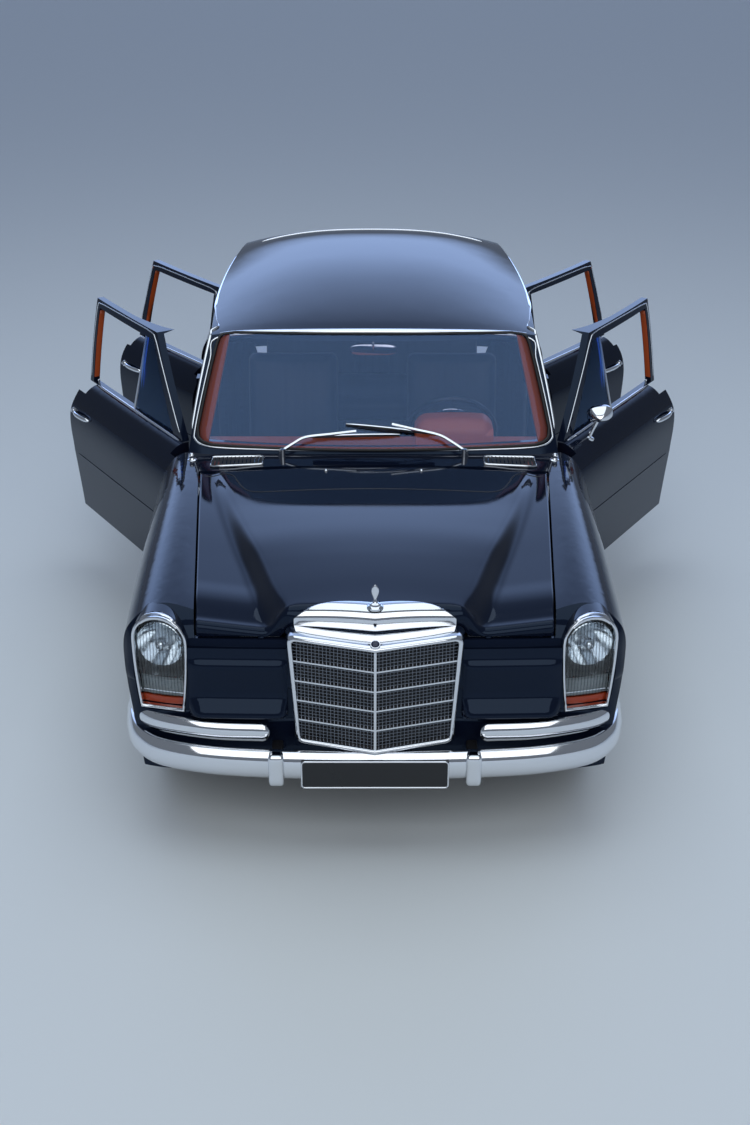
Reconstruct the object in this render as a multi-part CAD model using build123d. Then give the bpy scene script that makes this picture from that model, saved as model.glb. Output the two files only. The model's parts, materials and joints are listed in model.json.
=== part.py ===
from build123d import *
from math import cos, hypot, radians, sin
import os

# A full-size four-door saloon limousine of the 1960s, standing with its four doors open.
# Millimetres, +Z up. The car faces -Y and its left side is +X. The origin is on the floor at
# the middle of the car. A station is a distance back from the foremost point of the front bumper.

# ---- Driving dimensions ----
length = 5540.0
width = 1950.0
wheelbase = 3200.0
front_overhang = 885.0
track_front = 1587.0
track_rear = 1581.0

# ---- Wheels ----
tyre_radius = 365.0
tyre_width = 220.0
tyre_wall = 16.0
rim_radius = 205.0
rim_width = 178.0
rim_wall = 9.0
wheel_disc = 10.0
disc_offset = 12.0
cap_radius = 122.0
hub_radius = 58.0
spindle_radius = 22.0
running_clearance = 0.05
arch_radius = 412.0
arch_lift = 6.0

# ---- Front axle and steering ----
kingpin_x = 650.0
kingpin_radius = 14.0
knuckle_half = 69.0
knuckle_gap = 6.0
ear_height = 30.0
beam_low = 245.0
beam_half = 48.0
upright_inner = 560.0
upright_outer = 600.0

# ---- Body ----
sheet = 22.0
belt_height = 958.0
door_bottom = 305.0
sill_bottom = 238.0
sill_inner = 740.0
shut_gap = 8.0
bonnet_front = 632.0
bonnet_rear = 752.0
bonnet_end = 1500.0
bonnet_lip = 842.0
bonnet_gap = 13.0
nose_half = 572.0
front_door_start = 1744.0
rear_door_start = 2872.0
rear_door_end = 3612.0
door_arch_gap = 74.0
boot_start = 4480.0
boot_half = 690.0
boot_lip = 600.0
floor_height = 300.0
floor_sheet = 12.0
floor_raised = 458.0
kick_up = 3650.0
rail_x = 365.0
rail_half = 35.0
rail_height = 68.0
firewall = 1560.0
tunnel_half = 150.0
tunnel_top = 512.0

# ---- Doors: the angle they stand at, and how their hinges are made ----
front_door_open = 32.0
rear_door_open = 38.0
door_inner = 805.0
door_step = 900.0
pillar_half = 35.0
pillar_clear = 15.0
pillar_thick = 30.0
seal_gap = 6.0
hinge_inset = 52.0
hinge_back = 34.0
hinge_sweep = 53.0
pin_radius = 7.0
pin_clearance = 0.3
ring_radius = 14.0
ring_half = 16.0
pocket_gap = 6.0
arm_reach = 72.0
arm_half = 8.0
hinge_low = 590.0
hinge_high = 800.0

# ---- Lid hinges ----
lid_axis_drop = 14.0
lid_pin_radius = 4.0
lid_ring_radius = 8.0
lid_hinge_x = 250.0
lid_ring_half = 9.0
lid_leg = 34.0

# ---- Roof and glass ----
roof_wall = 32.0
frame_bar = 40.0
glass_inset = 12.0
glass_sheet = 6.0
drip_half = 742.0

half = width / 2
front_axle = front_overhang
rear_axle = front_overhang + wheelbase
wheel_height = tyre_radius
hinge_x = half - hinge_inset


def at(station):
    """Row Y of a station."""
    return station - length / 2


# ---- Body sections: each station's points up one side and over to the middle ----
# Sill, crease, widest line, shoulder and crown as (inset from half the width, height), then the
# lid edge, valley foot, brow and plateau as (half-width, height), and the height on the middle line.
SECTIONS = {
    100: ((112, 285), (66, 600), (56, 715), (76, 835), (178, 910), (625, 892), (460, 892), (350, 932),
          (185, 964), 976),
    500: ((100, 270), (50, 600), (40, 722), (60, 848), (172, 930), (655, 917), (480, 915), (400, 955),
          (220, 985), 996),
    1000: ((86, 248), (38, 602), (28, 730), (47, 856), (162, 948), (700, 939), (600, 936), (515, 966),
           (280, 992), 1001),
    1700: ((66, 236), (29, 604), (19, 738), (36, 861), (138, 957), (765, 958), (700, 960), (610, 966),
           (330, 974), 978),
    2300: ((64, 235), (27, 605), (18, 740), (34, 861), (133, 957), (765, 958), (700, 958), (600, 960),
           (330, 963), 964),
    2900: ((64, 235), (27, 606), (18, 740), (34, 861), (132, 957), (765, 958), (700, 958), (600, 958),
           (330, 958), 958),
    3600: ((65, 236), (29, 606), (20, 738), (36, 859), (133, 957), (765, 960), (700, 963), (600, 968),
           (330, 973), 976),
    4300: ((76, 242), (40, 600), (30, 730), (46, 853), (138, 955), (740, 971), (640, 979), (500, 986),
           (260, 995), 999),
    4950: ((104, 268), (60, 594), (50, 716), (66, 840), (146, 940), (716, 953), (620, 959), (480, 965),
           (250, 973), 977),
    5600: ((155, 320), (112, 584), (100, 700), (118, 808), (190, 890), (670, 894), (590, 898), (460, 903),
           (240, 909), 912),
}


def section_points(station, inset):
    """The half section at a station as (x, z) points, moved inwards by inset."""
    *pairs, ridge = SECTIONS[station]
    points = [(half - a, z) for a, z in pairs[:5]] + list(pairs[5:]) + [(0.0, ridge)]
    if not inset:
        return points
    moved = []
    for i, (x, z) in enumerate(points):
        before = points[max(i - 1, 0)]
        after = points[i + 1] if i + 1 < len(points) else (-points[i - 1][0], points[i - 1][1])
        dx, dz = after[0] - before[0], after[1] - before[1]
        run = hypot(dx, dz)
        moved.append((x - inset * dz / run, z + inset * dx / run))
    moved[0] = (moved[0][0], moved[0][1] - 4 * inset)
    moved[-1] = (0.0, ridge - inset)
    return moved


def section_face(y, points):
    right = [Vector(x, y, z) for x, z in points]
    left = [Vector(-x, y, z) for x, z in reversed(points[:-1])]
    over = Spline(*(right[1:] + left[:-1]))
    return make_face([over, Line(right[0], right[1]), Line(left[-2], left[-1]), Line(left[-1], right[0])])


# ---- Rounded ends: a plan outline, shifted inwards at each height ----
NOSE_PLAN = ((0, 160), (600, 168), (780, 190), (895, 234), (955, 320), (1000, 460))
TAIL_PLAN = ((0, 5448), (600, 5440), (770, 5424), (880, 5384), (945, 5310), (1000, 5180))
END_SHIFTS = ((640, 0, 0), (710, 1, 1), (775, 6, 5), (830, 17, 14), (880, 48, 40), (925, 110, 95),
              (965, 210, 190), (1005, 340, 320))


def end_caps(inset=0.0):
    """The volume between the nose and the tail, upright below and rounded over above."""
    faces = []
    for z, ahead, behind in END_SHIFTS:
        nose = [Vector(x, at(s + ahead + inset), z) for x, s in NOSE_PLAN]
        tail = [Vector(x, at(s - behind - inset), z) for x, s in TAIL_PLAN]
        other_nose = [Vector(-v.X, v.Y, z) for v in reversed(nose[1:])]
        other_tail = [Vector(-v.X, v.Y, z) for v in reversed(tail[1:])]
        front = Spline(*(other_nose + nose))
        rear = Spline(*(other_tail + tail))
        faces.append(make_face([front, Line(nose[-1], tail[-1]), rear, Line(other_tail[0], other_nose[0])]))
    return loft(faces) + extrude(faces[0], amount=END_SHIFTS[0][0] - 100, dir=Vector(0, 0, -1))


def prism(points, axis, low, high):
    """A polygon, given in the two other axes, drawn out along an axis from low to high."""
    if axis == "X":
        outline = [Vector(low, a, b) for a, b in points]
        along = Vector(1, 0, 0)
    elif axis == "Y":
        outline = [Vector(a, low, b) for a, b in points]
        along = Vector(0, 1, 0)
    else:
        outline = [Vector(a, b, low) for a, b in points]
        along = Vector(0, 0, 1)
    return extrude(make_face(Polyline(*outline, close=True)), amount=high - low, dir=along)


def block(x0, x1, s0, s1, z0, z1):
    """A box between two X, two stations and two heights."""
    return Pos((x0 + x1) / 2, at((s0 + s1) / 2), (z0 + z1) / 2) * Box(x1 - x0, s1 - s0, z1 - z0)


def barrel(radius, x0, x1, station, z):
    """A cylinder along X."""
    return Pos((x0 + x1) / 2, at(station), z) * Rot(0, 90, 0) * Cylinder(radius, x1 - x0)


def shaft(radius, s0, s1, x, z):
    """A cylinder along Y."""
    return Pos(x, at((s0 + s1) / 2), z) * Rot(90, 0, 0) * Cylinder(radius, s1 - s0)


def post(radius, z0, z1, x, station):
    """A cylinder along Z."""
    return Pos(x, at(station), (z0 + z1) / 2) * Cylinder(radius, z1 - z0)


def mirrored(shape):
    return mirror(shape, Plane.YZ)


def one(shape):
    """The largest solid of a shape, without the slivers that a cut leaves."""
    return max(shape.solids(), key=lambda s: s.volume)


PARTS = {}


def keep(name, *shapes):
    found = []
    for shape in shapes:
        found += [s for s in shape.solids() if s.volume > 50]
    PARTS[name] = found[0] if len(found) == 1 else Compound(children=found)


# ---- Greenhouse: outlines at three heights, and roof arches at several stations ----
# Outline: screen middle and corner stations, half-widths at the screen, middle and rear, rear
# window corner and middle stations.
OUTLINES = {
    930: (1611, 1701, 829, 836, 800, 4306, 4387),
    1230: (1914, 1998, 778, 792, 734, 4003, 4077),
    1530: (2218, 2295, 700, 727, 655, 3699, 3767),
}
ROOF_LINE = {
    1500: (1290, 1284), 2090: (1408, 1372), 2350: (1446, 1390), 2750: (1482, 1404), 3200: (1500, 1406),
    3600: (1496, 1396), 3850: (1466, 1374), 4050: (1392, 1320), 4500: (1180, 1140),
}
ROOF_SHARES = (-1.25, -1.0, -0.82, -0.6, -0.3, 0, 0.3, 0.6, 0.82, 1.0, 1.25)


def greenhouse(inset=0.0):
    """Everything from below the belt up to the roof skin, moved inwards by inset."""
    outlines = []
    for z, (front, corner, x_front, x_middle, x_rear, rear_corner, rear) in OUTLINES.items():
        f1 = Vector(x_front - inset, at(corner) + inset, z)
        m1 = Vector(x_middle - inset, at(2850), z)
        r1 = Vector(x_rear - inset, at(rear_corner) - inset, z)
        f2, m2, r2 = Vector(-f1.X, f1.Y, z), Vector(-m1.X, m1.Y, z), Vector(-r1.X, r1.Y, z)
        outlines.append(make_face([
            ThreePointArc(f2, Vector(0, at(front) + inset, z), f1), ThreePointArc(f1, m1, r1),
            ThreePointArc(r1, Vector(0, at(rear) - inset, z), r2), ThreePointArc(r2, m2, f2)]))
    arches = []
    for s, (top, drip) in ROOF_LINE.items():
        y = at(s)
        over = [Vector(share * drip_half, y, top - inset - (top - drip) * abs(share) ** 2.6)
                for share in ROOF_SHARES]
        low_right, low_left = Vector(over[-1].X, y, 900), Vector(over[0].X, y, 900)
        arches.append(make_face([Spline(*over), Line(over[-1], low_right), Line(low_right, low_left),
                                 Line(low_left, over[0])]))
    return loft(outlines) & loft(arches)


caps = end_caps()
caps_hollow = end_caps(sheet)
tub_full = loft([section_face(at(s), section_points(s, 0)) for s in SECTIONS])
tub_empty = loft([section_face(at(s), section_points(s, sheet)) for s in SECTIONS])
body = tub_full & caps
hollow = tub_empty & caps_hollow
shell = body - hollow
house = greenhouse()
house_hollow = greenhouse(roof_wall)
house_shell = house - house_hollow

# ---- Shut lines seen from the side and from above ----
LEFT_HINGES = {"front": front_door_start + hinge_back, "rear": rear_door_start + hinge_back}
front_door_end = rear_door_start - shut_gap
screen_foot = 1822.0
screen_head = 2205.0
frame_high_front = 1362.0
frame_high_middle = 1372.0
frame_high_rear = 1364.0
rear_frame_head = 3568.0
tall = 1700.0


def grown(points, amount):
    """A convex-enough outline moved outwards by amount; points run anticlockwise."""
    lines = []
    count = len(points)
    for i in range(count):
        (x0, y0), (x1, y1) = points[i], points[(i + 1) % count]
        run = hypot(x1 - x0, y1 - y0)
        nx, ny = (y1 - y0) / run * amount, -(x1 - x0) / run * amount
        lines.append(((x0 + nx, y0 + ny), (x1 - x0, y1 - y0)))
    moved = []
    for i in range(count):
        (ax, ay), (adx, ady) = lines[i - 1]
        (bx, by), (bdx, bdy) = lines[i]
        cross = adx * bdy - ady * bdx
        if abs(cross) < 1e-9:
            moved.append((bx, by))
            continue
        share = ((bx - ax) * bdy - (by - ay) * bdx) / cross
        moved.append((ax + share * adx, ay + share * ady))
    return moved


def side_outline(points, x0, x1, amount=0.0):
    """A prism along X from points given as (station, height)."""
    outline = grown(points, amount) if amount else points
    return prism([(at(s), z) for s, z in outline], "X", x0, x1)


LOWER_FRONT = [(front_door_start, door_bottom), (front_door_end, door_bottom),
               (front_door_end, belt_height + 20), (front_door_start, belt_height + 20)]
UPPER_FRONT = [(screen_foot, belt_height), (front_door_end, belt_height), (front_door_end, frame_high_middle),
               (screen_head, frame_high_front)]
LOWER_REAR = [(rear_door_start, door_bottom), (rear_door_end, door_bottom), (rear_door_end, belt_height + 20),
              (rear_door_start, belt_height + 20)]
UPPER_REAR = [(rear_door_start, belt_height), (rear_door_end, belt_height),
              (rear_frame_head, frame_high_rear), (rear_door_start, frame_high_middle)]
door_arch = arch_radius + door_arch_gap


def door_openings():
    """The gaps that the four doors close, grown by the shut gap, on both sides."""
    arch = barrel(door_arch - shut_gap, -1100, 1100, rear_axle, wheel_height + arch_lift)
    lower = side_outline([(front_door_start, door_bottom), (rear_door_end, door_bottom),
                          (rear_door_end, belt_height + 12), (front_door_start, belt_height + 12)],
                         -1100, 1100, shut_gap) - arch
    upper = side_outline([(screen_foot, belt_height - 10), (rear_door_end, belt_height - 10),
                          (rear_frame_head, frame_high_rear), (rear_door_start, frame_high_middle),
                          (screen_head, frame_high_front)], -1100, 1100, shut_gap)
    return lower, upper


lower_opening, upper_opening = door_openings()
arches = (barrel(arch_radius, -1100, 1100, front_axle, wheel_height + arch_lift)
          + barrel(arch_radius, -1100, 1100, rear_axle, wheel_height + arch_lift))
bonnet_area = prism([(-bonnet_front, at(0)), (bonnet_front, at(0)), (bonnet_rear, at(bonnet_end)),
                     (-bonnet_rear, at(bonnet_end))], "Z", bonnet_lip, 1100)
bonnet_hole = prism([(-bonnet_front - shut_gap, at(0)), (bonnet_front + shut_gap, at(0)),
                     (bonnet_rear + shut_gap, at(bonnet_end)),
                     (bonnet_rear + shut_gap, at(bonnet_end + bonnet_gap)),
                     (-bonnet_rear - shut_gap, at(bonnet_end + bonnet_gap)),
                     (-bonnet_rear - shut_gap, at(bonnet_end))], "Z", bonnet_lip - shut_gap, 1100)
boot_area = block(-boot_half, boot_half, boot_start, 5700, boot_lip, 1100)
boot_hole = block(-boot_half - shut_gap, boot_half + shut_gap, boot_start - bonnet_gap, 5700,
                  boot_lip - shut_gap, 1100)

# ---- Bonnet: its middle runs forward to a shallow peak over the grille ----
peak_station = 118.0
peak_corner = 178.0
peak_half = 300.0


def peak_volume(inset):
    return prism([(-500, at(470)), (-peak_half, at(peak_corner + inset)), (0, at(peak_station + inset)),
                  (peak_half, at(peak_corner + inset)), (500, at(470))], "Z", bonnet_lip, 1100)


bonnet_skin = (tub_full & (caps + peak_volume(0))) - (tub_empty & (caps_hollow + peak_volume(sheet)))
bonnet = one(bonnet_skin & bonnet_area)


def lid_top(station):
    """The skin's height near the lid hinges at a station."""
    probe = body & block(lid_hinge_x - 1, lid_hinge_x + 1, station - 1, station + 1, 900, 1100)
    return probe.bounding_box().max.Z


def lid_hinge(station, end_station, fixed_station, towards):
    """A lid's pins and pockets, and the body's rings on cranked legs; towards is +1 or -1 along Y."""
    z = lid_top(station) - lid_axis_drop
    pins, pockets, rings = [], [], []
    for x in (-lid_hinge_x, lid_hinge_x):
        width_half = lid_ring_half + 3
        pins.append(barrel(lid_pin_radius, x - width_half - 6, x + width_half + 6, station, z))
        edge = station + towards * 40
        pocket = barrel(lid_ring_radius + 1.5, x - width_half, x + width_half, station, z)
        pocket += block(x - width_half, x + width_half, min(station, edge), max(station, edge), z - 40, z + 1)
        pocket += block(x - width_half, x + width_half, station - 12, station + 12, z - 40, z)
        pockets.append(pocket)
        ring = barrel(lid_ring_radius, x - lid_ring_half, x + lid_ring_half, station, z)
        leg = block(x - lid_ring_half, x + lid_ring_half, station - 6, station + 6, z - lid_leg, z)
        reach = block(x - lid_ring_half, x + lid_ring_half, min(station - 6, fixed_station),
                      max(station + 6, fixed_station), z - lid_leg - 10, z - lid_leg)
        hole = barrel(lid_pin_radius + pin_clearance, x - 30, x + 30, station, z)
        rings.append((ring + leg + reach) - hole)
    return pins, pockets, rings


bonnet_axis = bonnet_end - lid_axis_drop
pins, pockets, bonnet_rings = lid_hinge(bonnet_axis, bonnet_end, bonnet_end + bonnet_gap + 4, 1)
for pin, pocket in zip(pins, pockets):
    bonnet = one(bonnet - pocket) + pin
keep("bonnet", one(bonnet))

# ---- Boot lid ----
boot_axis = boot_start + lid_axis_drop
boot_lid = one(shell & boot_area)
pins, pockets, boot_rings = lid_hinge(boot_axis, boot_start, boot_start - bonnet_gap - 4, -1)
for pin, pocket in zip(pins, pockets):
    boot_lid = one(boot_lid - pocket) + pin
keep("boot_lid", one(boot_lid))

# ---- Upright headlamp units, one behind each oval glass ----
lamp_x = 785.0
lamp_half = 106.0
lamp_low = 532.0
lamp_high = 922.0
lamp_rim = 13.0
lamp_face = 176.0
lamp_sweep = 0.25
lamp_depth = 330.0
lamp_clear = 0.3


def lamp_volume(grow, s0, s1):
    """The lamp's front outline, round above and a little narrower below, drawn back from s0 to s1."""
    w, low, high = lamp_half + grow, lamp_low - grow, lamp_high + grow
    middle = high - w
    foot = w * 0.8
    a, b = Vector(lamp_x - foot, at(s0), low), Vector(lamp_x + foot, at(s0), low)
    c, d = Vector(lamp_x + w, at(s0), middle), Vector(lamp_x - w, at(s0), middle)
    face = make_face([
        Line(a, b), ThreePointArc(b, Vector(lamp_x + w * 0.98, at(s0), (low + middle) / 2), c),
        ThreePointArc(c, Vector(lamp_x, at(s0), high), d),
        ThreePointArc(d, Vector(lamp_x - w * 0.98, at(s0), (low + middle) / 2), a)])
    return extrude(face, amount=s1 - s0, dir=Vector(0, 1, 0))


# ---- Front wings, cut for the lamps, the wheels and the doors' front corners ----
wing_end = front_door_start - shut_gap
hinge_room = post(hinge_sweep, 0, tall, hinge_x, LEFT_HINGES["front"])
wing = shell & block(0, 1100, 0, wing_end, 150, 1100)
wing = wing - bonnet_hole - arches - hinge_room - lamp_volume(lamp_clear, 0, lamp_depth)
wing = wing - block(0, nose_half, 0, 300, 0, 1100) - block(0, 640, 200, 1800, 0, 1100)
wing = wing - block(0, bonnet_rear + shut_gap, bonnet_end - 2, 1800, 0, 1100)
wing = one(wing - house)
keep("front_wings", wing, mirrored(wing))

# ---- Panel around the grille, and the cowl with the bonnet's hinge rings ----
grille_opening = block(-280, 280, 0, 300, 470, 1100)
nose_panel = one((shell & block(-nose_half, nose_half, 0, 240, 290, bonnet_lip - shut_gap)) - grille_opening)
keep("nose_panel", nose_panel)

cowl_half = bonnet_rear + shut_gap
cowl_front = bonnet_end + bonnet_gap
cowl = one((shell & block(-cowl_half, cowl_half, cowl_front, wing_end, 880, 1100)) - house)
cowl = cowl + (block(-cowl_half + 30, cowl_half - 30, cowl_front, cowl_front + 12, 880, 1100) & body)
for ring in bonnet_rings:
    cowl = cowl + ring
cowl = one(cowl)
keep("cowl", cowl)

# ---- Quarter panels, rear deck and tail panel ----
quarter = shell & block(0, 1100, 3500, 5700, 150, 1100)
quarter = quarter - lower_opening - boot_hole - arches
quarter = quarter - block(0, boot_half + shut_gap, 3000, boot_start, 880, 1100)
quarter = quarter - block(0, 600, 5000, 5700, 0, 1100) - block(0, 640, 3400, 5200, 0, 1100)
quarter = quarter - block(0, 1100, 0, 3800, 0, door_bottom - shut_gap)
quarter = one(quarter - house)
keep("rear_quarters", quarter, mirrored(quarter))
deck_half = boot_half + shut_gap
deck_end = boot_start - bonnet_gap
rear_deck = one((shell & block(-deck_half, deck_half, 4200, deck_end, 880, 1100)) - house)
rear_deck = rear_deck + (block(-deck_half + 30, deck_half - 30, deck_end - 12, deck_end, 880, 1100) & body)
for ring in boot_rings:
    rear_deck = rear_deck + ring
tail_panel = one(shell & block(-600, 600, 5150, 5700, 290, boot_lip - shut_gap))
keep("rear_panels", one(rear_deck), tail_panel)

# ---- Sills, and the pillars that carry the doors ----
sill_start = wing_end
sill = one((body & block(sill_inner, 1100, sill_start, 3800, sill_bottom, door_bottom - shut_gap)) - arches)
keep("sills", sill, mirrored(sill))

# ---- Roof: windscreen pillars, door surrounds and rear quarters in one pressing ----
SCREEN = [(-742, 1000), (742, 1000), (664, 1372), (-664, 1372)]
BACKLIGHT = [(-640, 1030), (640, 1030), (560, 1360), (-560, 1360)]
screen_cut = prism(SCREEN, "Y", at(1500), at(2500))
backlight_cut = prism(BACKLIGHT, "Y", at(3500), at(4600))
roof = one(house_shell - upper_opening - screen_cut - backlight_cut - body)
keep("roof", roof)
glass_shell = greenhouse(glass_inset) - greenhouse(glass_inset + glass_sheet)
keep("screens", one(glass_shell & screen_cut), one(glass_shell & backlight_cut))

# ---- Centre pillars, door surround rails and hinge arms ----
post_end = front_door_end - 2
post_start = post_end - 2 * pillar_half
rail_seam = frame_high_middle + shut_gap + 2
inner_face = greenhouse(roof_wall + seal_gap + pillar_thick)
surround = (greenhouse(roof_wall + seal_gap) & block(0, 1100, 0, length, 900, rail_seam)) + (
    house_hollow & block(0, 1100, 0, length, rail_seam, tall))
surround = surround - inner_face
rail = surround & block(620, 1100, screen_head - 90, rear_frame_head + 60, frame_high_rear - 4, tall)
upper_post = surround & block(0, 1100, post_start, post_end, 930, frame_high_rear)
lower_post = block(door_inner - 10, door_step - seal_gap, post_start, post_end,
                   door_bottom - shut_gap, belt_height - seal_gap)
centre_post = (upper_post + lower_post) + rail
front_post = block(door_inner - 10, door_step - seal_gap, wing_end - 46, wing_end, floor_height,
                   belt_height - sheet - 30)
front_post = front_post & hollow


def hinge_arm(station, carrier):
    """Two cranked arms with rings about the hinge axis, running forward to the carrier's station."""
    arms = []
    for z in (hinge_low, hinge_high):
        ring = post(ring_radius, z - ring_half, z + ring_half, hinge_x, station)
        inner = block(hinge_x - arm_reach, hinge_x, station - arm_half, station + arm_half, z - ring_half,
                      z + ring_half)
        crank = block(hinge_x - arm_reach - 2 * arm_half, hinge_x - arm_reach, carrier, station + arm_half,
                      z - ring_half, z + ring_half)
        hole = post(pin_radius + pin_clearance, z - 40, z + 40, hinge_x, station)
        arms.append((ring + inner + crank) - hole)
    return arms


for arm in hinge_arm(LEFT_HINGES["front"], wing_end - 10):
    front_post = front_post + arm
for arm in hinge_arm(LEFT_HINGES["rear"], post_end - 10):
    centre_post = centre_post + arm
front_post, centre_post = one(front_post), one(centre_post)
keep("door_pillars", front_post, mirrored(front_post), centre_post, mirrored(centre_post))

# ---- Doors: drawn shut, then turned open about their hinges ----
door_fill = body & block(door_inner, 1100, front_door_start - 20, rear_door_end + 20, 200, belt_height)
window_walls = house_shell & block(500, 1100, 1700, 3900, belt_height - 26, 1600)


def door_hinges(door, station):
    """Cut the rings' pockets out of a door and put its two pins through them."""
    for z in (hinge_low, hinge_high):
        tall_half = ring_half + pocket_gap
        pocket = post(ring_radius + 3, z - tall_half, z + tall_half, hinge_x, station)
        pocket += post(arm_reach, z - tall_half, z + tall_half, hinge_x, station) & block(
            0, hinge_x + 3, 0, station + arm_half + 3, 0, tall)
        pocket += block(0, hinge_x, station - 60, station + arm_half + 3, z - tall_half, z + tall_half)
        door = door - pocket
        door = door + post(pin_radius, z - tall_half - 10, z + tall_half + 10, hinge_x, station)
    return one(door)


def door(lower, upper, start, end, inner_end):
    """One left door, shut: a deep inner box, an outer skin and the window frame above."""
    outer = door_fill & side_outline(lower, 0, 1100) & block(door_step, 1100, start, end, 0, tall)
    inner = door_fill & side_outline(lower, 0, 1100)
    inner = inner & block(0, 1100, start + hinge_back + 30, inner_end, 0, tall)
    frame = window_walls & side_outline(upper, 0, 1100)
    opening = grown(upper, -frame_bar)
    opening = [(s, belt_height + 4) if z < belt_height + frame_bar + 5 else (s, z) for s, z in opening]
    frame = frame - side_outline(opening, 0, 1100)
    frame = frame & block(0, 1100, 0, length, 0, tall)
    return outer, inner, frame


outer, inner, frame = door(LOWER_FRONT, UPPER_FRONT, front_door_start, front_door_end,
                           post_start - pillar_clear)
front_door = one((outer + inner) + frame)
front_door = front_door - post(hinge_sweep, 0, tall, hinge_x, LEFT_HINGES["rear"])
front_door = door_hinges(one(front_door), LEFT_HINGES["front"])

outer, inner, frame = door(LOWER_REAR, UPPER_REAR, rear_door_start, rear_door_end,
                           rear_door_end - pillar_half)
arch_cut = barrel(door_arch, 0, 1100, rear_axle, wheel_height + arch_lift)
deep_arch_cut = barrel(door_arch + pillar_clear, 0, 1100, rear_axle, wheel_height + arch_lift)
rear_door = one(((outer - arch_cut) + (inner - deep_arch_cut)) + frame)
rear_door = door_hinges(rear_door, LEFT_HINGES["rear"])


def opened(shape, station, angle):
    """A shut left door's piece, turned open."""
    return shape.rotate(Axis((hinge_x, at(station), 0), (0, 0, 1)), -angle)


front_open = opened(front_door, LEFT_HINGES["front"], front_door_open)
rear_open = opened(rear_door, LEFT_HINGES["rear"], rear_door_open)
keep("front_door_left", front_open)
keep("front_door_right", mirrored(front_open))
keep("rear_door_left", rear_open)
keep("rear_door_right", mirrored(rear_open))

# ---- Fixed lights in the front corners of the front doors, behind an upright bar ----
vent_end = 2330.0
vent_outline = grown(UPPER_FRONT, -frame_bar)
vent_outline = [(s, belt_height + 4) if z < belt_height + frame_bar + 5 else (s, z) for s, z in vent_outline]
vent_area = side_outline(vent_outline, 500, 1100)
vent_glass = one(glass_shell & vent_area & block(0, 1100, 0, vent_end, 0, tall))
vent_open = opened(vent_glass, LEFT_HINGES["front"], front_door_open)
keep("vent_glass_left", vent_open)
keep("vent_glass_right", mirrored(vent_open))

# ---- Round-backed mirror on the left front door ----
mirror_station = 2010.0
mirror_foot = post(9, belt_height - 60, belt_height + 62, 880, mirror_station)
mirror_head = Pos(906, at(mirror_station), belt_height + 78) * Rot(90, 0, 0) * Cylinder(52, 26)
mirror_piece = (mirror_foot + mirror_head) - front_door
keep("door_mirror", opened(one(mirror_piece), LEFT_HINGES["front"], front_door_open))

# ---- Grille: an upright shell, a shallow vee seen from above, with bars between its sides ----
shell_top = 893.0
shell_foot = 452.0
shell_top_half = 327.0
shell_foot_half = 300.0
mesh_top = 868.0
mesh_foot = 470.0
mesh_top_half = 297.0
mesh_foot_half = 272.0
vee_front = 3.0
vee_slope = 0.3
grille_back = 176.0
peak_clear = 10.0
bar_rows = 5
bar_height = 8.0
slat_height = 3.0
slats_per_row = 4
bar_depth = 10.0
bar_inset = 14.0


def vee(inset, back_inset, reach):
    """The vee-shaped plan between two insets from the grille's front."""
    tip, back = vee_front + inset, vee_front + back_inset
    return [(-reach, at(tip + vee_slope * reach)), (0, at(tip)), (reach, at(tip + vee_slope * reach)),
            (reach, at(back + vee_slope * reach)), (0, at(back)), (-reach, at(back + vee_slope * reach))]


plan = [(-340, at(vee_front + vee_slope * 340)), (0, at(vee_front)), (340, at(vee_front + vee_slope * 340)),
        (340, at(grille_back)), (-340, at(grille_back))]
front_outline = [(-shell_foot_half, shell_foot), (shell_foot_half, shell_foot), (shell_top_half, shell_top),
                 (-shell_top_half, shell_top)]
mesh_outline = [(-mesh_foot_half, mesh_foot), (mesh_foot_half, mesh_foot), (mesh_top_half, mesh_top),
                (-mesh_top_half, mesh_top)]
grille_shell = prism(front_outline, "Y", at(0), at(grille_back)) & prism(plan, "Z", 0, 1100)
mesh_space = prism(mesh_outline, "Y", at(-10), at(length))
peak_room = prism([(-500, at(470)), (-peak_half - peak_clear, at(peak_corner - peak_clear)),
                   (0, at(peak_station - peak_clear)), (peak_half + peak_clear, at(peak_corner - peak_clear)),
                   (500, at(470))], "Z", bonnet_lip - peak_clear, 1100)
grille_shell = one(grille_shell - mesh_space - body - peak_room)
row_pitch = (mesh_top - mesh_foot) / bar_rows
bars = []
for row in range(bar_rows):
    floor_line = mesh_foot + row * row_pitch
    if row:
        bars.append(prism(vee(bar_inset - 4, bar_inset + bar_depth, 330), "Z", floor_line - bar_height / 2,
                          floor_line + bar_height / 2))
    for slat in range(1, slats_per_row + 1):
        z = floor_line + slat * row_pitch / (slats_per_row + 1)
        bars.append(prism(vee(bar_inset, bar_inset + bar_depth, 330), "Z", z - slat_height / 2,
                          z + slat_height / 2))
upright = block(-7, 7, vee_front + bar_inset - 6, vee_front + bar_inset + bar_depth + 4, mesh_foot, mesh_top)
cheeks = [block(x - 4, x + 4, vee_front + bar_inset + vee_slope * abs(x),
                vee_front + bar_inset + vee_slope * abs(x) + bar_depth, mesh_foot, mesh_top)
          for x in (-190, -95, 95, 190)]
grille_bars = upright.fuse(*(bars + cheeks)) & mesh_space
keep("grille", grille_shell, one(grille_bars))

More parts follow.
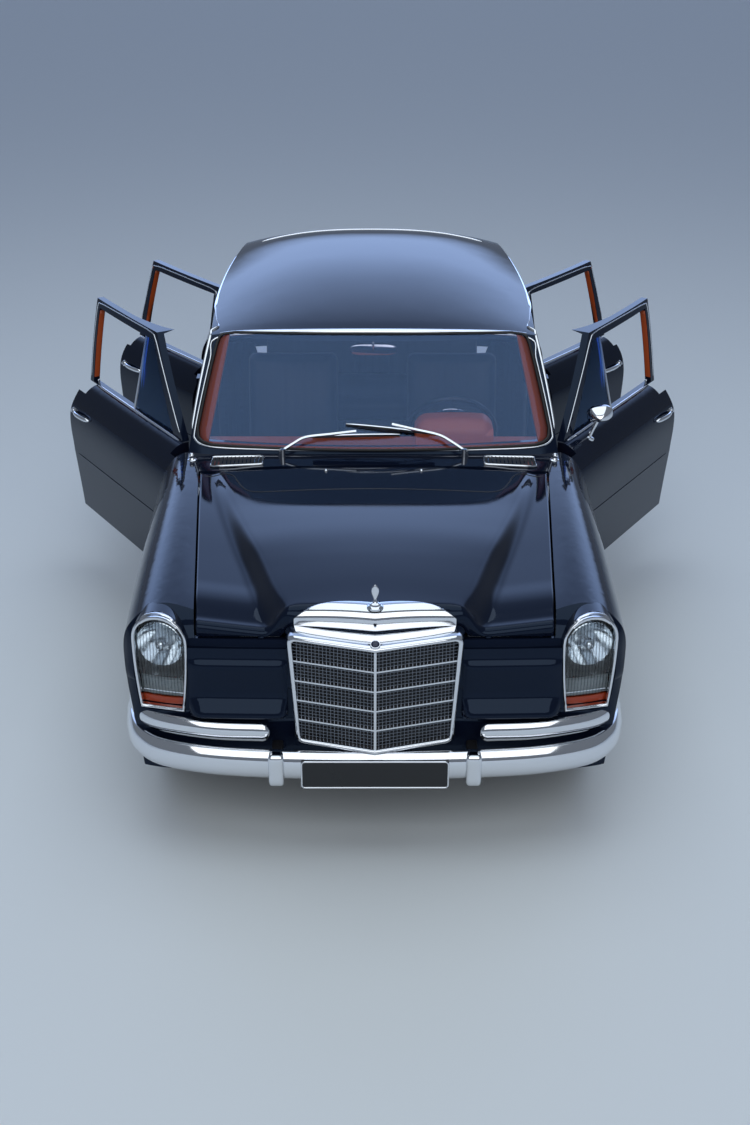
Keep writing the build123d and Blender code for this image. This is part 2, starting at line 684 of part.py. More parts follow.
# ---- Headlamp housings and their glasses ----
lens_radius = 600.0
lens_sheet = 7.0
housing = lamp_volume(0, 100, lamp_depth) - lamp_volume(-lamp_rim, 0, lamp_depth - 20)
ahead = lamp_x - lamp_half - 40
beyond = lamp_x + lamp_half + 40
ahead_face = lamp_face - lamp_sweep * 40
beyond_face = ahead_face + lamp_sweep * (beyond - ahead)
housing = housing - prism([(ahead, at(0)), (beyond, at(0)), (beyond, at(beyond_face)),
                           (ahead, at(ahead_face))], "Z", 0, 1100)
lens_face = lamp_face + lamp_sweep * lamp_half
turn_back = lens_radius / hypot(1, lamp_sweep)
lens_centre = Pos(lamp_x - lamp_sweep * turn_back, at(lens_face + turn_back + 2), (lamp_low + lamp_high) / 2)
lens = lamp_volume(-lamp_rim, 100, 320) & (
    lens_centre * Sphere(lens_radius) - lens_centre * Sphere(lens_radius - lens_sheet))
keep("headlamp_housings", one(housing), mirrored(one(housing)))
keep("headlamp_glasses", one(lens), mirrored(one(lens)))

# ---- Bumpers: crowned blades, two high at the corners, with upright guards ----
blade_low = 335.0
blade_high = 446.0
upper_low = 452.0
upper_high = 524.0
blade_sheet = 26.0
blade_crown = 20.0
guard_x = 360.0
guard_half = 29.0
guard_low = 318.0
guard_high = 476.0
guard_depth = 58.0
FRONT_BLADE = ((0, 30), (330, 36), (600, 64), (790, 124), (880, 205), (920, 305), (938, 440))
FRONT_UPPER = ((385, 98), (600, 116), (785, 170), (875, 240), (918, 335), (936, 450))
REAR_BLADE = ((0, 5512), (400, 5508), (700, 5478), (850, 5412), (915, 5320), (940, 5180), (950, 5020))
REAR_UPPER = ((395, 5492), (700, 5466), (848, 5400), (910, 5312), (936, 5180), (948, 5020))


def blade(points, z0, z1, crown):
    """A blade along plan points (x, station), crowned outwards between its two edges."""
    flat = [(x, at(s)) for x, s in points]
    away = []
    for i in range(len(flat)):
        (ax, ay), (bx, by) = flat[max(i - 1, 0)], flat[min(i + 1, len(flat) - 1)]
        run = hypot(bx - ax, by - ay)
        nx, ny = (by - ay) / run, -(bx - ax) / run
        if nx * flat[i][0] + ny * flat[i][1] < 0:
            nx, ny = -nx, -ny
        away.append((nx, ny))
    levels = []
    for share in (0.0, 0.25, 0.5, 0.75, 1.0):
        out = crown * (1 - (2 * share - 1) ** 2)
        z = z0 + (z1 - z0) * share
        outer = [Vector(x + nx * out, y + ny * out, z) for (x, y), (nx, ny) in zip(flat, away)]
        inner = [Vector(x - nx * blade_sheet, y - ny * blade_sheet, z)
                 for (x, y), (nx, ny) in zip(flat, away)]
        levels.append(make_face([Spline(*outer), Line(outer[-1], inner[-1]), Spline(*reversed(inner)),
                                 Line(inner[0], outer[0])]))
    return loft(levels)


def both_ways(points):
    return [(-x, s) for x, s in reversed(points) if x > 0] + list(points)


def guards(front_station, back_station):
    found = []
    for x in (-guard_x, guard_x):
        box = block(x - guard_half, x + guard_half, front_station, back_station, guard_low, guard_high)
        found.append(fillet(box.edges(), 13))
    return found


def bumper(full_points, corner_points, guard_stations, bracket_stations, corner_bracket_stations):
    """A full-width blade with guards and brackets, and a shorter blade above it at each corner."""
    main = blade(both_ways(full_points), blade_low, blade_high, blade_crown)
    for guard in guards(*guard_stations):
        main = main + guard
    for x in (-guard_x, guard_x):
        main = main + block(x - 22, x + 22, *bracket_stations, 384, 426)
    upper = blade(corner_points, upper_low, upper_high, 13)
    upper = upper + block(600, 640, *corner_bracket_stations, 468, 508)
    upper = one(upper - body - main)
    return one(main - body), upper


plate_half = 269.0
plate_low = 314.0
plate_high = 428.0
main, upper = bumper(FRONT_BLADE, FRONT_UPPER, (0, guard_depth), (50, 200), (112, 200))
plate = block(-plate_half, plate_half, 2, 5, plate_low, plate_high) + block(-90, 90, 5, 30, 360, 410)
plate = one(plate - main)
keep("front_bumper", main, upper, mirrored(upper))
keep("front_plate", plate)
main, upper = bumper(REAR_BLADE, REAR_UPPER, (length - guard_depth, length), (5400, 5500), (5400, 5480))
keep("rear_bumper", main, upper, mirrored(upper))

# ---- Tail lamps, laid on the rear corners ----
tail_lamp_low = 632.0
tail_lamp_high = 772.0
tail_lamp_sheet = 14.0
tail_lamp = (tub_full & end_caps(-tail_lamp_sheet)) - body
tail_lamp = one(tail_lamp & block(boot_half + 16, 905, 5200, 5600, tail_lamp_low, tail_lamp_high))
keep("tail_lamps", tail_lamp, mirrored(tail_lamp))

# ---- Floor, bulkhead, side rails and seat risers ----
rail_top = floor_height + floor_sheet + rail_height
seat_riser = 412.0
front_seat_station = 2200.0
front_seat_x = 405.0
cushion_half = 245.0
rear_seat_station = 3330.0
bay_half = 640.0
boot_end = 5300.0
seat_riser_half = 180.0
floor_top = floor_height + floor_sheet
floor = block(-sill_inner, sill_inner, firewall, kick_up + floor_sheet, floor_height, floor_top)
floor += block(-bay_half, bay_half, kick_up, kick_up + floor_sheet, floor_height, floor_raised + floor_sheet)
floor += block(-bay_half, bay_half, kick_up, boot_end, floor_raised, floor_raised + floor_sheet)
floor += block(-sill_inner, sill_inner, firewall, firewall + floor_sheet, floor_height, 860)
tunnel_skin = block(-tunnel_half, tunnel_half, firewall, kick_up + floor_sheet, floor_height, tunnel_top)
tunnel_hole = block(-tunnel_half + floor_sheet, tunnel_half - floor_sheet, firewall - 10, kick_up + 20, 0,
                    tunnel_top - floor_sheet)
floor = (floor + tunnel_skin) - tunnel_hole
for x in (-rail_x, rail_x):
    rail = block(x - rail_half, x + rail_half, 100, firewall, floor_top, rail_top) & hollow
    floor = floor + rail
    floor = floor + block(x - seat_riser_half, x + seat_riser_half, front_seat_station + 40,
                          front_seat_station + 480, floor_height, seat_riser)
floor = floor + block(-bay_half + 10, bay_half - 10, rear_seat_station + 40, kick_up + floor_sheet,
                      floor_height + 1, tunnel_top)
floor = floor + block(-bay_half + 10, bay_half - 10, kick_up, kick_up + 220, floor_raised, tunnel_top)
floor = floor - tunnel_hole
floor = floor + block(-bay_half + 10, bay_half - 10, 4290, 4302, floor_raised, 925)
keep("floor", one(floor))

# ---- Engine as one block, the driveline behind it, the exhaust and the tank ----
engine_start = 700.0
engine_end = 1320.0
engine_half = 225.0
engine_top = 800.0
shaft_height = 362.0
box_radius = 112.0
box_end = 1900.0
prop_radius = 34.0
differential_radius = 90.0
differential_half = 105.0
axle_radius = 44.0
pipe_radius = 26.0
pipe_x = 232.0
pipe_height = 268.0
engine_foot = floor_top
keep("engine", block(-engine_half, engine_half, engine_start, engine_end, engine_foot, engine_top))
driveline = shaft(box_radius, engine_end, box_end, 0, 385) - block(-200, 200, engine_end, box_end, 0, 283)
driveline = driveline + shaft(prop_radius, box_end - 5, rear_axle - differential_half + 8, 0, shaft_height)
differential = shaft(differential_radius, rear_axle - differential_half, rear_axle + differential_half, 0,
                     shaft_height + 3)
differential = fillet(differential.edges(), 30)
keep("driveline", one(driveline - differential))
pipes = []
for x in (-pipe_x, pipe_x):
    pipe = shaft(pipe_radius, 1000, 5420, x, pipe_height) + shaft(58, 2300, 3000, x, pipe_height - 26)
    pipe = pipe - block(-500, 500, 900, 5500, floor_height, 500)
    pipe = pipe + (post(pipe_radius, pipe_height, engine_foot, x - (20 if x > 0 else -20), 1060))
    pipe = pipe + block(x - 8, x + 8, 3500, 3520, pipe_height, floor_height)
    pipes.append(one(pipe))
keep("exhaust", *pipes)
tank = fillet(block(-400, 400, 4650, 5150, 308, floor_raised).edges().filter_by(Axis.Z), 40)
keep("fuel_tank", tank)

# ---- Rear axle, carried by two arms under the floor ----
spindle_end = track_rear / 2 + 74
rear_tube = barrel(axle_radius, -track_rear / 2 + 92, track_rear / 2 - 92, rear_axle, wheel_height)
rear_tube = rear_tube + barrel(spindle_radius, -spindle_end, spindle_end, rear_axle, wheel_height)
rear_tube = rear_tube + differential
for x in (-455, 455):
    rear_tube = rear_tube + block(x - 25, x + 25, kick_up - 90, rear_axle + 30, 262, floor_height)
    rear_tube = rear_tube + block(x - 25, x + 25, rear_axle - 34, rear_axle + 30, 262, 340)
keep("rear_axle", one(rear_tube))

# ---- Front crossmember with an ear above and below each knuckle ----
ear_low = wheel_height - knuckle_half - knuckle_gap - ear_height
ear_high = wheel_height + knuckle_half + knuckle_gap
beam_front, beam_back = front_axle - beam_half, front_axle + beam_half
front_beam = block(-upright_outer, upright_outer, beam_front, beam_back, beam_low, engine_foot)
for side in (-1, 1):
    inner, outer_x = sorted((side * upright_inner, side * upright_outer))
    front_beam += block(inner, outer_x, beam_front, beam_back, beam_low, ear_high + ear_height)
    near, far = sorted((side * upright_inner, side * (kingpin_x + 26)))
    for z in (ear_low, ear_high):
        front_beam += block(near, far, front_axle - 26, front_axle + 26, z, z + ear_height)
    front_beam -= post(kingpin_radius + running_clearance, 100, 700, side * kingpin_x, front_axle)
keep("front_axle", one(front_beam))


def knuckle(side):
    """A knuckle with its kingpin and the wheel's spindle."""
    front_spindle_end = track_front / 2 + 74
    inner, outer_x = sorted((side * (kingpin_x - 22), side * (kingpin_x + 24)))
    made = block(inner, outer_x, front_axle - 28, front_axle + 28, wheel_height - knuckle_half,
                 wheel_height + knuckle_half)
    made += post(kingpin_radius, ear_low - 6, ear_high + ear_height + 6, side * kingpin_x, front_axle)
    near, far = sorted((side * kingpin_x, side * front_spindle_end))
    made += barrel(spindle_radius, near, far, front_axle, wheel_height)
    return one(made)


keep("knuckle_left", knuckle(1))
keep("knuckle_right", knuckle(-1))


# ---- Tyres and wheels ----
def turned(points):
    """Turn a half outline, given as (radius, offset along the axle), about the axle."""
    face = make_face(Polyline(*[Vector(o, 0, r) for r, o in points], close=True))
    return revolve(face, Axis.X)


def tyre():
    w, r0, r1 = tyre_width / 2, rim_radius, tyre_radius
    outline = [(r0, -w + 24), (r0 + 30, -w + 8), (r0 + 82, -w), (r1 - 34, -w + 5), (r1 - 9, -w + 24),
               (r1, -w + 46), (r1, w - 46), (r1 - 9, w - 24), (r1 - 34, w - 5), (r0 + 82, w),
               (r0 + 30, w - 8), (r0, w - 24)]
    inner = [(r0, -w + 24 + tyre_wall), (r0 + 34, -w + 8 + tyre_wall), (r1 - 40, -w + 8 + tyre_wall),
             (r1 - tyre_wall, -w + 44), (r1 - tyre_wall, w - 44), (r1 - 40, w - 8 - tyre_wall),
             (r0 + 34, w - 8 - tyre_wall), (r0, w - 24 - tyre_wall)]
    return turned(outline) - turned(inner)


def wheel():
    """Rim, dished disc and hub as one wheel, with a domed cap over the nut."""
    w = rim_width / 2
    inside = rim_radius - rim_wall
    barrel_part = turned([(rim_radius, -w), (rim_radius, w), (inside, w), (inside, -w)])
    disc = turned([(hub_radius - 4, disc_offset), (inside + 2, disc_offset + 12),
                   (inside + 2, disc_offset + 12 + wheel_disc), (hub_radius - 4, disc_offset + wheel_disc)])
    hub = turned([(spindle_radius + running_clearance, -w - 2), (hub_radius, -w - 2), (hub_radius, 78),
                  (spindle_radius + running_clearance, 78)])
    cap = turned([(hub_radius - 6, 30), (cap_radius, disc_offset + wheel_disc + 7),
                  (cap_radius, disc_offset + 24), (cap_radius - 8, disc_offset + 40), (84, 78), (40, 88),
                  (0, 91), (0, 80), (hub_radius - 6, 78)])
    return one(((barrel_part + disc) + hub) + cap)


TYRE, WHEEL = tyre(), wheel()
CORNERS = {"front_left": (1, front_axle, track_front), "front_right": (-1, front_axle, track_front),
           "rear_left": (1, rear_axle, track_rear), "rear_right": (-1, rear_axle, track_rear)}
for corner, (side, station, track) in CORNERS.items():
    place = Pos(side * track / 2, at(station), wheel_height)
    for kind, shape in (("tyre", TYRE), ("wheel", WHEEL)):
        keep(f"{kind}_{corner}", place * (shape if side > 0 else mirrored(shape)))

# ---- Dashboard with its padded hood, column and steering wheel ----
dash_profile = [(1650, 905), (1690, 966), (1900, 972), (1935, 945), (1925, 850), (1880, 790), (1800, 770),
                (1650, 860)]
inner_room = greenhouse(roof_wall + seal_gap)
dash_solid = prism([(at(s), z) for s, z in dash_profile], "X", -785, 785)
dashboard = (dash_solid & inner_room) + (dash_solid & block(-785, 785, 1640, 2000, 700, 946))
dashboard = dashboard - cowl - front_post - mirrored(front_post) - house_shell - wing - mirrored(wing)
column_x = 365.0
column_tilt = 22.0
wheel_rim_radius = 205.0
wheel_rim_thick = 13.0
steer_hub = 34.0
steer_station = 2105.0
steer_height = 918.0
column_radius = 24.0
column_length = 190.0
binnacle = fillet(block(column_x - 175, column_x + 175, 1800, 1960, 940, 1035).edges().filter_by(Axis.X), 28)
dashboard = one(dashboard) + binnacle
steer_frame = Pos(column_x, at(steer_station), steer_height) * Rot(90 + column_tilt, 0, 0)
column = steer_frame * (Pos(0, 0, column_length / 2 + 22) * Cylinder(column_radius, column_length))
stub = steer_frame * (Pos(0, 0, 16) * Cylinder(9, 40))
dashboard = one((dashboard + column) + stub)
steer_ring = steer_frame * Torus(wheel_rim_radius, wheel_rim_thick)
steer_boss = steer_frame * (Cylinder(steer_hub, 34) - Cylinder(9 + running_clearance, 40))
spokes = steer_frame * (Box(2 * wheel_rim_radius, 26, 12) - Cylinder(9 + running_clearance, 40))
keep("steering_wheel", one((steer_ring + steer_boss) + spokes))
keep("dashboard", dashboard)

# ---- Seats ----
cushion_top = 560.0
seat_gap = 0.3
back_top = 1080.0


def seat(x0, x1, station, depth, base, top, back_low, back_high, lean, thick):
    """A cushion and a leaning back, as two plain closed solids."""
    cushion = fillet(block(x0, x1, station, station + depth, base, top).edges(), 30)
    rear = station + depth
    profile = [(rear + seat_gap, back_low + 130), (rear + seat_gap, back_low), (rear + thick, back_low),
               (rear + thick + lean, back_high), (rear + thick * 0.35 + lean, back_high + 12),
               (rear + lean * 0.9, back_high - 20)]
    back = prism([(at(s), z) for s, z in profile], "X", x0, x1)
    return cushion, back


seats = []
for x in (-front_seat_x, front_seat_x):
    seats += seat(x - cushion_half, x + cushion_half, front_seat_station, 520, seat_riser + seat_gap,
                  cushion_top, seat_riser + seat_gap, back_top, 170, 130)
keep("front_seats", *seats)
rear_cushion, rear_back = seat(-620, 620, rear_seat_station, 520, tunnel_top + seat_gap, 640,
                               tunnel_top + seat_gap, back_top - 40, 110, 140)
keep("rear_seat", rear_cushion, rear_back)

# ---- Wipers, resting on the screen ----
wiper_x = 400.0
wiper_station = 1640.0
wipers = []
for side in (-1, 1):
    spindle = post(11, 900, 1010, side * wiper_x, wiper_station) - body
    wipers.append(one(spindle))
keep("wipers", *wipers)

os.makedirs("parts", exist_ok=True)
for name, shape in PARTS.items():
    export_step(shape, f"parts/{name}.step")
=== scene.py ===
import json
from math import cos, pi, radians, sin

import bmesh
import bpy
from mathutils import Matrix, Vector
from mathutils.bvhtree import BVHTree


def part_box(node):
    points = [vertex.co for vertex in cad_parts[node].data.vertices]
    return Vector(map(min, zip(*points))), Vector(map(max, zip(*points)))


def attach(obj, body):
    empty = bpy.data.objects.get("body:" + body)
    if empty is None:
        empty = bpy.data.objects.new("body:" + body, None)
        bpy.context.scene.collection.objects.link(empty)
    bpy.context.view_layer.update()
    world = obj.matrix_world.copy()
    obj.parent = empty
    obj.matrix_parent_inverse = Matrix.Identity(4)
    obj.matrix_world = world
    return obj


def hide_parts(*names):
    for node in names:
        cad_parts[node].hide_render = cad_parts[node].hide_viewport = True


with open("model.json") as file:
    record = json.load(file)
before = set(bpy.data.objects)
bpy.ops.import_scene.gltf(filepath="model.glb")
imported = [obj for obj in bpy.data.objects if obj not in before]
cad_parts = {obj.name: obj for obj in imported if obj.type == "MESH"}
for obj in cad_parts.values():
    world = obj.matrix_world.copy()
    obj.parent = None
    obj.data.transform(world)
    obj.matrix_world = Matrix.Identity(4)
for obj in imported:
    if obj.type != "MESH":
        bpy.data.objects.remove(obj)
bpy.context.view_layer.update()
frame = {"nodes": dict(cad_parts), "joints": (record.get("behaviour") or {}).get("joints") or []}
nodes = frame["nodes"]
joints = {joint["name"]: joint for joint in frame["joints"]}

# ---- Studio ----
# A plain pale floor, air that glows softly behind the car, one broad panel overhead, fill from the front,
# and a camera standing high in front of the grille.
def feed(target, feeds):
    """Gives each named input of a shader node a value, or the output that feeds it."""
    for socket, source in feeds.items():
        if isinstance(source, bpy.types.NodeSocket):
            target.id_data.links.new(source, target.inputs[socket])
        else:
            target.inputs[socket].default_value = source


def node(tree, kind, feeds=None, **settings):
    """A new shader node with its settings and what feeds its inputs."""
    made = tree.nodes.new("ShaderNode" + kind)
    for name, value in settings.items():
        setattr(made, name, value)
    feed(made, feeds or {})
    return made


def ramp(tree, source, stops, **settings):
    """A colour ramp over a source; a stop is (position, red, green, blue)."""
    made = node(tree, "ValToRGB", {"Fac": source})
    for name, value in settings.items():
        setattr(made.color_ramp, name, value)
    own = made.color_ramp.elements
    for i, (spot, *colour) in enumerate(stops):
        stop = own[0] if i == 0 else own[-1] if i == len(stops) - 1 else own.new(spot)
        stop.position, stop.color = spot, (*colour, 1)
    return made.outputs["Color"]


def material_of(name):
    """A new material, its node tree and its shader."""
    made = bpy.data.materials.new(name)
    made.use_nodes = True
    return made, made.node_tree, made.node_tree.nodes["Principled BSDF"]


def placed(name, data):
    """An object that shows some data, put in the scene."""
    made = bpy.data.objects.new(name, data)
    bpy.context.scene.collection.objects.link(made)
    return made


studio_floor, floor_tree, floor_shader = material_of("studio_floor")
floor_tone = node(floor_tree, "TexNoise", {"Scale": 0.4})
feed(floor_shader, {"Roughness": 0.85, "Base Color": ramp(
    floor_tree, floor_tone.outputs["Fac"], [(0.0, 0.75, 0.79, 0.81), (1.0, 0.79, 0.83, 0.85)])})
floor_mesh = bpy.data.meshes.new("studio_floor")
floor_mesh.from_pydata([(-60, -30, 0), (60, -30, 0), (60, 90, 0), (-60, 90, 0)], [], [(0, 1, 2, 3)])
floor_mesh.materials.append(studio_floor)
placed("studio_floor", floor_mesh)

# The air glows in a band above the horizon, on the side that the car's tail points to.
sky = bpy.data.worlds.new("studio_air")
bpy.context.scene.world = sky
sky.use_nodes = True
air = sky.node_tree
sky_way = node(air, "TexCoord").outputs["Generated"]
sky_flat = node(air, "VectorMath", {0: sky_way, 1: (1, 1, 0)}, operation="MULTIPLY")
sky_turn = node(air, "VectorMath", {0: sky_flat.outputs[0]}, operation="NORMALIZE")
sky_side = node(air, "SeparateXYZ", {"Vector": sky_turn.outputs[0]})
sky_band = node(air, "MapRange", {"From Min": 0.72, "From Max": 0.94, "Value": sky_side.outputs["Y"]},
                interpolation_type="SMOOTHERSTEP")
sky_levels = ((0.0, 0.04), (0.11, 0.06), (0.20, 0.88), (0.27, 1.0), (0.36, 0.86), (0.50, 0.46), (0.66, 0.16),
              (0.92, 0.03), (1.0, 0.02))
sky_height = ramp(air, node(air, "SeparateXYZ", {"Vector": sky_way}).outputs["Z"],
                  [(spot, level, level, level) for spot, level in sky_levels])
sky_share = node(air, "Math", {0: sky_height, 1: sky_band.outputs["Result"]}, operation="MULTIPLY")
sky_mix = node(air, "Mix", {"Factor": sky_share.outputs[0], "A": (0.15, 0.17, 0.20, 1), "B": (1.15, 1.60, 2.65, 1)},
               data_type="RGBA")
feed(air.nodes["Background"], {"Color": sky_mix.outputs["Result"]})


def panel(name, place, target, wide, tall, watts, colour):
    """A soft rectangular studio light at a place, facing a target."""
    data = bpy.data.lights.new(name, "AREA")
    data.shape, data.size, data.size_y = "RECTANGLE", wide, tall
    data.energy, data.color = watts, colour
    lamp = placed(name, data)
    lamp.location = place
    lamp.rotation_euler = (Vector(target) - Vector(place)).to_track_quat("-Z", "Y").to_euler()
    lamp.visible_camera = False


panel("top_panel", (0, -1.0, 7.5), (0, -0.6, 0.6), 6.7, 8.5, 215, (0.84, 0.93, 1.0))
panel("front_panel", (0, -12.0, 7.2), (0, -2.0, 0.6), 15.0, 8.0, 560, (0.95, 0.98, 1.0))

camera = placed("camera", bpy.data.cameras.new("camera"))
camera.data.sensor_fit, camera.data.sensor_height, camera.data.lens = "VERTICAL", 36.0, 50.884
camera.location = (-0.0305, -7.6854, 3.5235)
pan, tilt, roll = radians(-0.334), radians(64.943), radians(0.141)
camera.rotation_mode = "QUATERNION"
camera.rotation_quaternion = (Matrix.Rotation(pan, 3, "Z") @ Matrix.Rotation(tilt, 3, "X")
                              @ Matrix.Rotation(roll, 3, "Z")).to_quaternion()
bpy.context.scene.camera = camera
bpy.context.scene.view_settings.view_transform = "Standard"

# ---- Painted body panels ----
# Pressed sheet steel, welded or bolted into one shell and sprayed in deep midnight blue, then
# polished. The lids and doors are the same pressings with shut lines between them.
def new_group(name, inputs, output):
    """A shader node group with inputs of these values and one output; gives its two end nodes."""
    group = bpy.data.node_groups.new(name, "ShaderNodeTree")
    for label, value in inputs.items():
        group.interface.new_socket(label, in_out="INPUT", socket_type="NodeSocketFloat").default_value = value
    group.interface.new_socket(output, in_out="OUTPUT", socket_type="NodeSocketFloat")
    return group, group.nodes.new("NodeGroupInput").outputs, group.nodes.new("NodeGroupOutput")


# Dust film: a soft cloud of roughness between what a wiped surface has and what a dusty one has.
dust_film, dust_in, dust_out = new_group("dust_film", {"Scale": 3.0, "Clean": 0.05, "Dusty": 0.12}, "Roughness")
dust_cloud = node(dust_film, "TexNoise", {"Vector": node(dust_film, "TexCoord").outputs["Object"],
                                          "Scale": dust_in["Scale"], "Detail": 6})
dust_range = node(dust_film, "MapRange", {"Value": dust_cloud.outputs["Fac"], "From Min": 0.35, "From Max": 0.7,
                                          "To Min": dust_in["Clean"], "To Max": dust_in["Dusty"]})
feed(dust_out, {"Roughness": dust_range.outputs["Result"]})

# Fine grain: the small hills of sprayed paint, moulded rubber, cast metal or hide.
fine_grain, grain_in, grain_out = new_group("fine_grain", {"Scale": 300.0, "Detail": 3.0}, "Height")
grain_cloud = node(fine_grain, "TexNoise", {"Vector": node(fine_grain, "TexCoord").outputs["Object"],
                                            "Scale": grain_in["Scale"], "Detail": grain_in["Detail"]})
feed(grain_out, {"Height": grain_cloud.outputs["Fac"]})


def finish_of(name, colour, metal, clean, dusty, grain_scale, grain_depth, dust_scale=3.0):
    """A material with a dust film in its roughness and a fine grain in its bump."""
    made, tree, shader = material_of(name)
    dust = node(tree, "Group", node_tree=dust_film)
    feed(dust, {"Scale": dust_scale, "Clean": clean, "Dusty": dusty})
    grain = node(tree, "Group", node_tree=fine_grain)
    feed(grain, {"Scale": grain_scale})
    bump = node(tree, "Bump", {"Strength": 1.0, "Distance": grain_depth, "Height": grain.outputs["Height"]})
    feed(shader, {"Base Color": (*colour, 1), "Metallic": metal, "Roughness": dust.outputs["Roughness"],
                  "Normal": bump.outputs["Normal"]})
    return made


def shader_of(material):
    return material.node_tree.nodes["Principled BSDF"]


def dress(material, *names):
    """Give CAD nodes a finish."""
    for name in names:
        for place in nodes[name].material_slots:
            place.material = material


corners = ("front_left", "front_right", "rear_left", "rear_right")
body_paint = finish_of("body_paint", (0.0045, 0.0075, 0.019), 0.0, 0.035, 0.06, 900.0, 0.00001)
# The specular tint makes the paint's reflections blue: a painted blue in its highlights and reflections, over what they
# really show.
feed(shader_of(body_paint), {"Specular Tint": (0.50, 0.70, 1.0, 1), "IOR": 1.34})
dress(body_paint, "boot_lid", "cowl", "front_wings", "nose_panel", "rear_quarters", "rear_panels", "roof", "sills",
      "door_pillars", "headlamp_housings", *[f"wheel_{name}" for name in corners],
      *[f"{end}_door_{side}" for end in ("front", "rear") for side in ("left", "right")])

# ---- Chrome ----
# The plating of bumper blades, lamp rims, grille shell and mirror: pressed steel or cast zinc under
# copper, nickel and chromium, polished bright.
chrome = finish_of("chrome", (0.80, 0.82, 0.86), 1.0, 0.05, 0.10, 600.0, 0.000006, 6.0)
dress(chrome, "door_mirror", "wipers")

# ---- Chrome strips round the windscreen and along the roof ----
# Rolled stainless strips clipped over the roof flange and the rubber of the windscreen. One strip
# rings the screen, a broader one caps its head, and a drip rail runs over the doors.
front_bumper_y = -2.77
down, up, inwards, forwards, backwards = (0, 0, -1), (0, 0, 1), (-1, 0, 0), (0, -1, 0), (0, 1, 0)


def at(station):
    """The row's y of a place so many metres behind the front bumper."""
    return station + front_bumper_y


def skin_of(*names, turn=None):
    """The surface of CAD nodes, to lay trim on; turn moves it first."""
    points, faces = [], []
    for name in names:
        first = len(points)
        mesh = nodes[name].data
        points += [turn @ v.co if turn else v.co.copy() for v in mesh.vertices]
        faces += [[first + i for i in polygon.vertices] for polygon in mesh.polygons]
    return BVHTree.FromPolygons(points, faces)


def laid(skin, places, way, lift=0.0):
    """Drop places along a direction on to a skin; gives the points and the outward directions."""
    way = Vector(way).normalized()
    found, outs = [], []
    for place in places:
        hit, normal, _, _ = skin.ray_cast(Vector(place) - way * 2.5, way)
        if hit is None:
            continue
        normal = normal if normal.dot(way) < 0 else -normal
        found.append(hit + normal * lift)
        outs.append(normal)
    for _ in range(3):
        outs = [(outs[max(i - 1, 0)] + out + outs[min(i + 1, len(outs) - 1)]).normalized()
                for i, out in enumerate(outs)]
    return found, outs


def spread(low, high, steps):
    """Evenly spread values from low to high."""
    return [low + (high - low) * k / steps for k in range(steps + 1)]


def curved(points, steps, closed=False):
    """A smooth line through points, with so many steps between each two."""
    points = [Vector(p) for p in points]
    count = len(points)
    line = []
    for i in range(count if closed else count - 1):
        p1, p2 = points[i], points[(i + 1) % count]
        p0 = points[i - 1] if (i or closed) else p1 * 2 - p2
        p3 = points[(i + 2) % count] if (i + 2 < count or closed) else p2 * 2 - p1
        for k in range(steps):
            t = k / steps
            line.append(0.5 * (2 * p1 + (p2 - p0) * t + (2 * p0 - 5 * p1 + 4 * p2 - p3) * t * t
                               + (3 * p1 - p0 - 3 * p2 + p3) * t ** 3))
    return line if closed else line + [points[-1]]


def swept(line, outs, profile, closed=False, taper=0):
    """A profile of (across, out) pairs carried along a line. The outward directions are a list, or one tuple
    for the whole line; taper rounds that many end rings down."""
    count, size = len(line), len(profile)
    if isinstance(outs, tuple):
        outs = [Vector(outs)] * count
    points, faces = [], []
    for i, (place, out) in enumerate(zip(line, outs)):
        before = line[i - 1] if (i or closed) else line[i]
        after = line[(i + 1) % count] if (i + 1 < count or closed) else line[i]
        along = (after - before).normalized()
        across = out.cross(along).normalized()
        out = along.cross(across)
        end = min(i, count - 1 - i)
        part = (end + 0.12) / (taper + 0.12) if end < taper else 1.0
        share = (part * (2 - part)) ** 0.5
        points += [place + across * (u * share) + out * (v * share) for u, v in profile]
    for i in range(count if closed else count - 1):
        for k in range(size):
            j, m = (i + 1) % count, (k + 1) % size
            faces.append((i * size + k, i * size + m, j * size + m, j * size + k))
    if not closed:
        faces += [tuple(range(size)), tuple(range((count - 1) * size, count * size))]
    return points, faces


def half_round(width, height, steps=6):
    """The profile of a rolled strip: flat below, round above, sunk a little into what carries it."""
    arc = [(-width / 2 * cos(pi * k / steps), height * sin(pi * k / steps)) for k in range(steps + 1)]
    return [(-width / 2, -0.002)] + arc + [(width / 2, -0.002)]


def oval(half_width, half_height, steps):
    return [(half_width * cos(2 * pi * k / steps), half_height * sin(2 * pi * k / steps)) for k in range(steps)]


def ride(made, material, body):
    """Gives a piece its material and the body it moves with."""
    made.data.materials.append(material)
    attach(made, body)
    return made


def piece(name, form, material=chrome, body="car_body", sharp=38, turn=None, flip=False, slot=None):
    """A mesh of (points, faces) that rides on a body; flip mirrors it to the car's other side."""
    points = [turn @ Vector(p) if turn else Vector(p) for p in form[0]]
    if flip:
        points = [Vector((-p.x, p.y, p.z)) for p in points]
    mesh = bpy.data.meshes.new(name)
    mesh.from_pydata(points, [], form[1])
    work = bmesh.new()
    work.from_mesh(mesh)
    bmesh.ops.recalc_face_normals(work, faces=work.faces)
    work.to_mesh(mesh)
    work.free()
    mesh.polygons.foreach_set("use_smooth", [True] * len(mesh.polygons))
    mesh.set_sharp_from_angle(angle=radians(sharp))
    return ride(placed(name, mesh), material, body)


def pair(name, form, material=chrome, body="car_body", **how):
    """A piece on the car's left and its mirror image on the right."""
    return [piece(f"{name}_{side}", form, material, body.replace("left", side), flip=side == "right", **how)
            for side in ("left", "right")]


def mirrored(half):
    """A run of (x, rest) pairs across the car, from the half that starts on its middle."""
    return [(-x, s) for x, s in reversed(half[1:])] + half


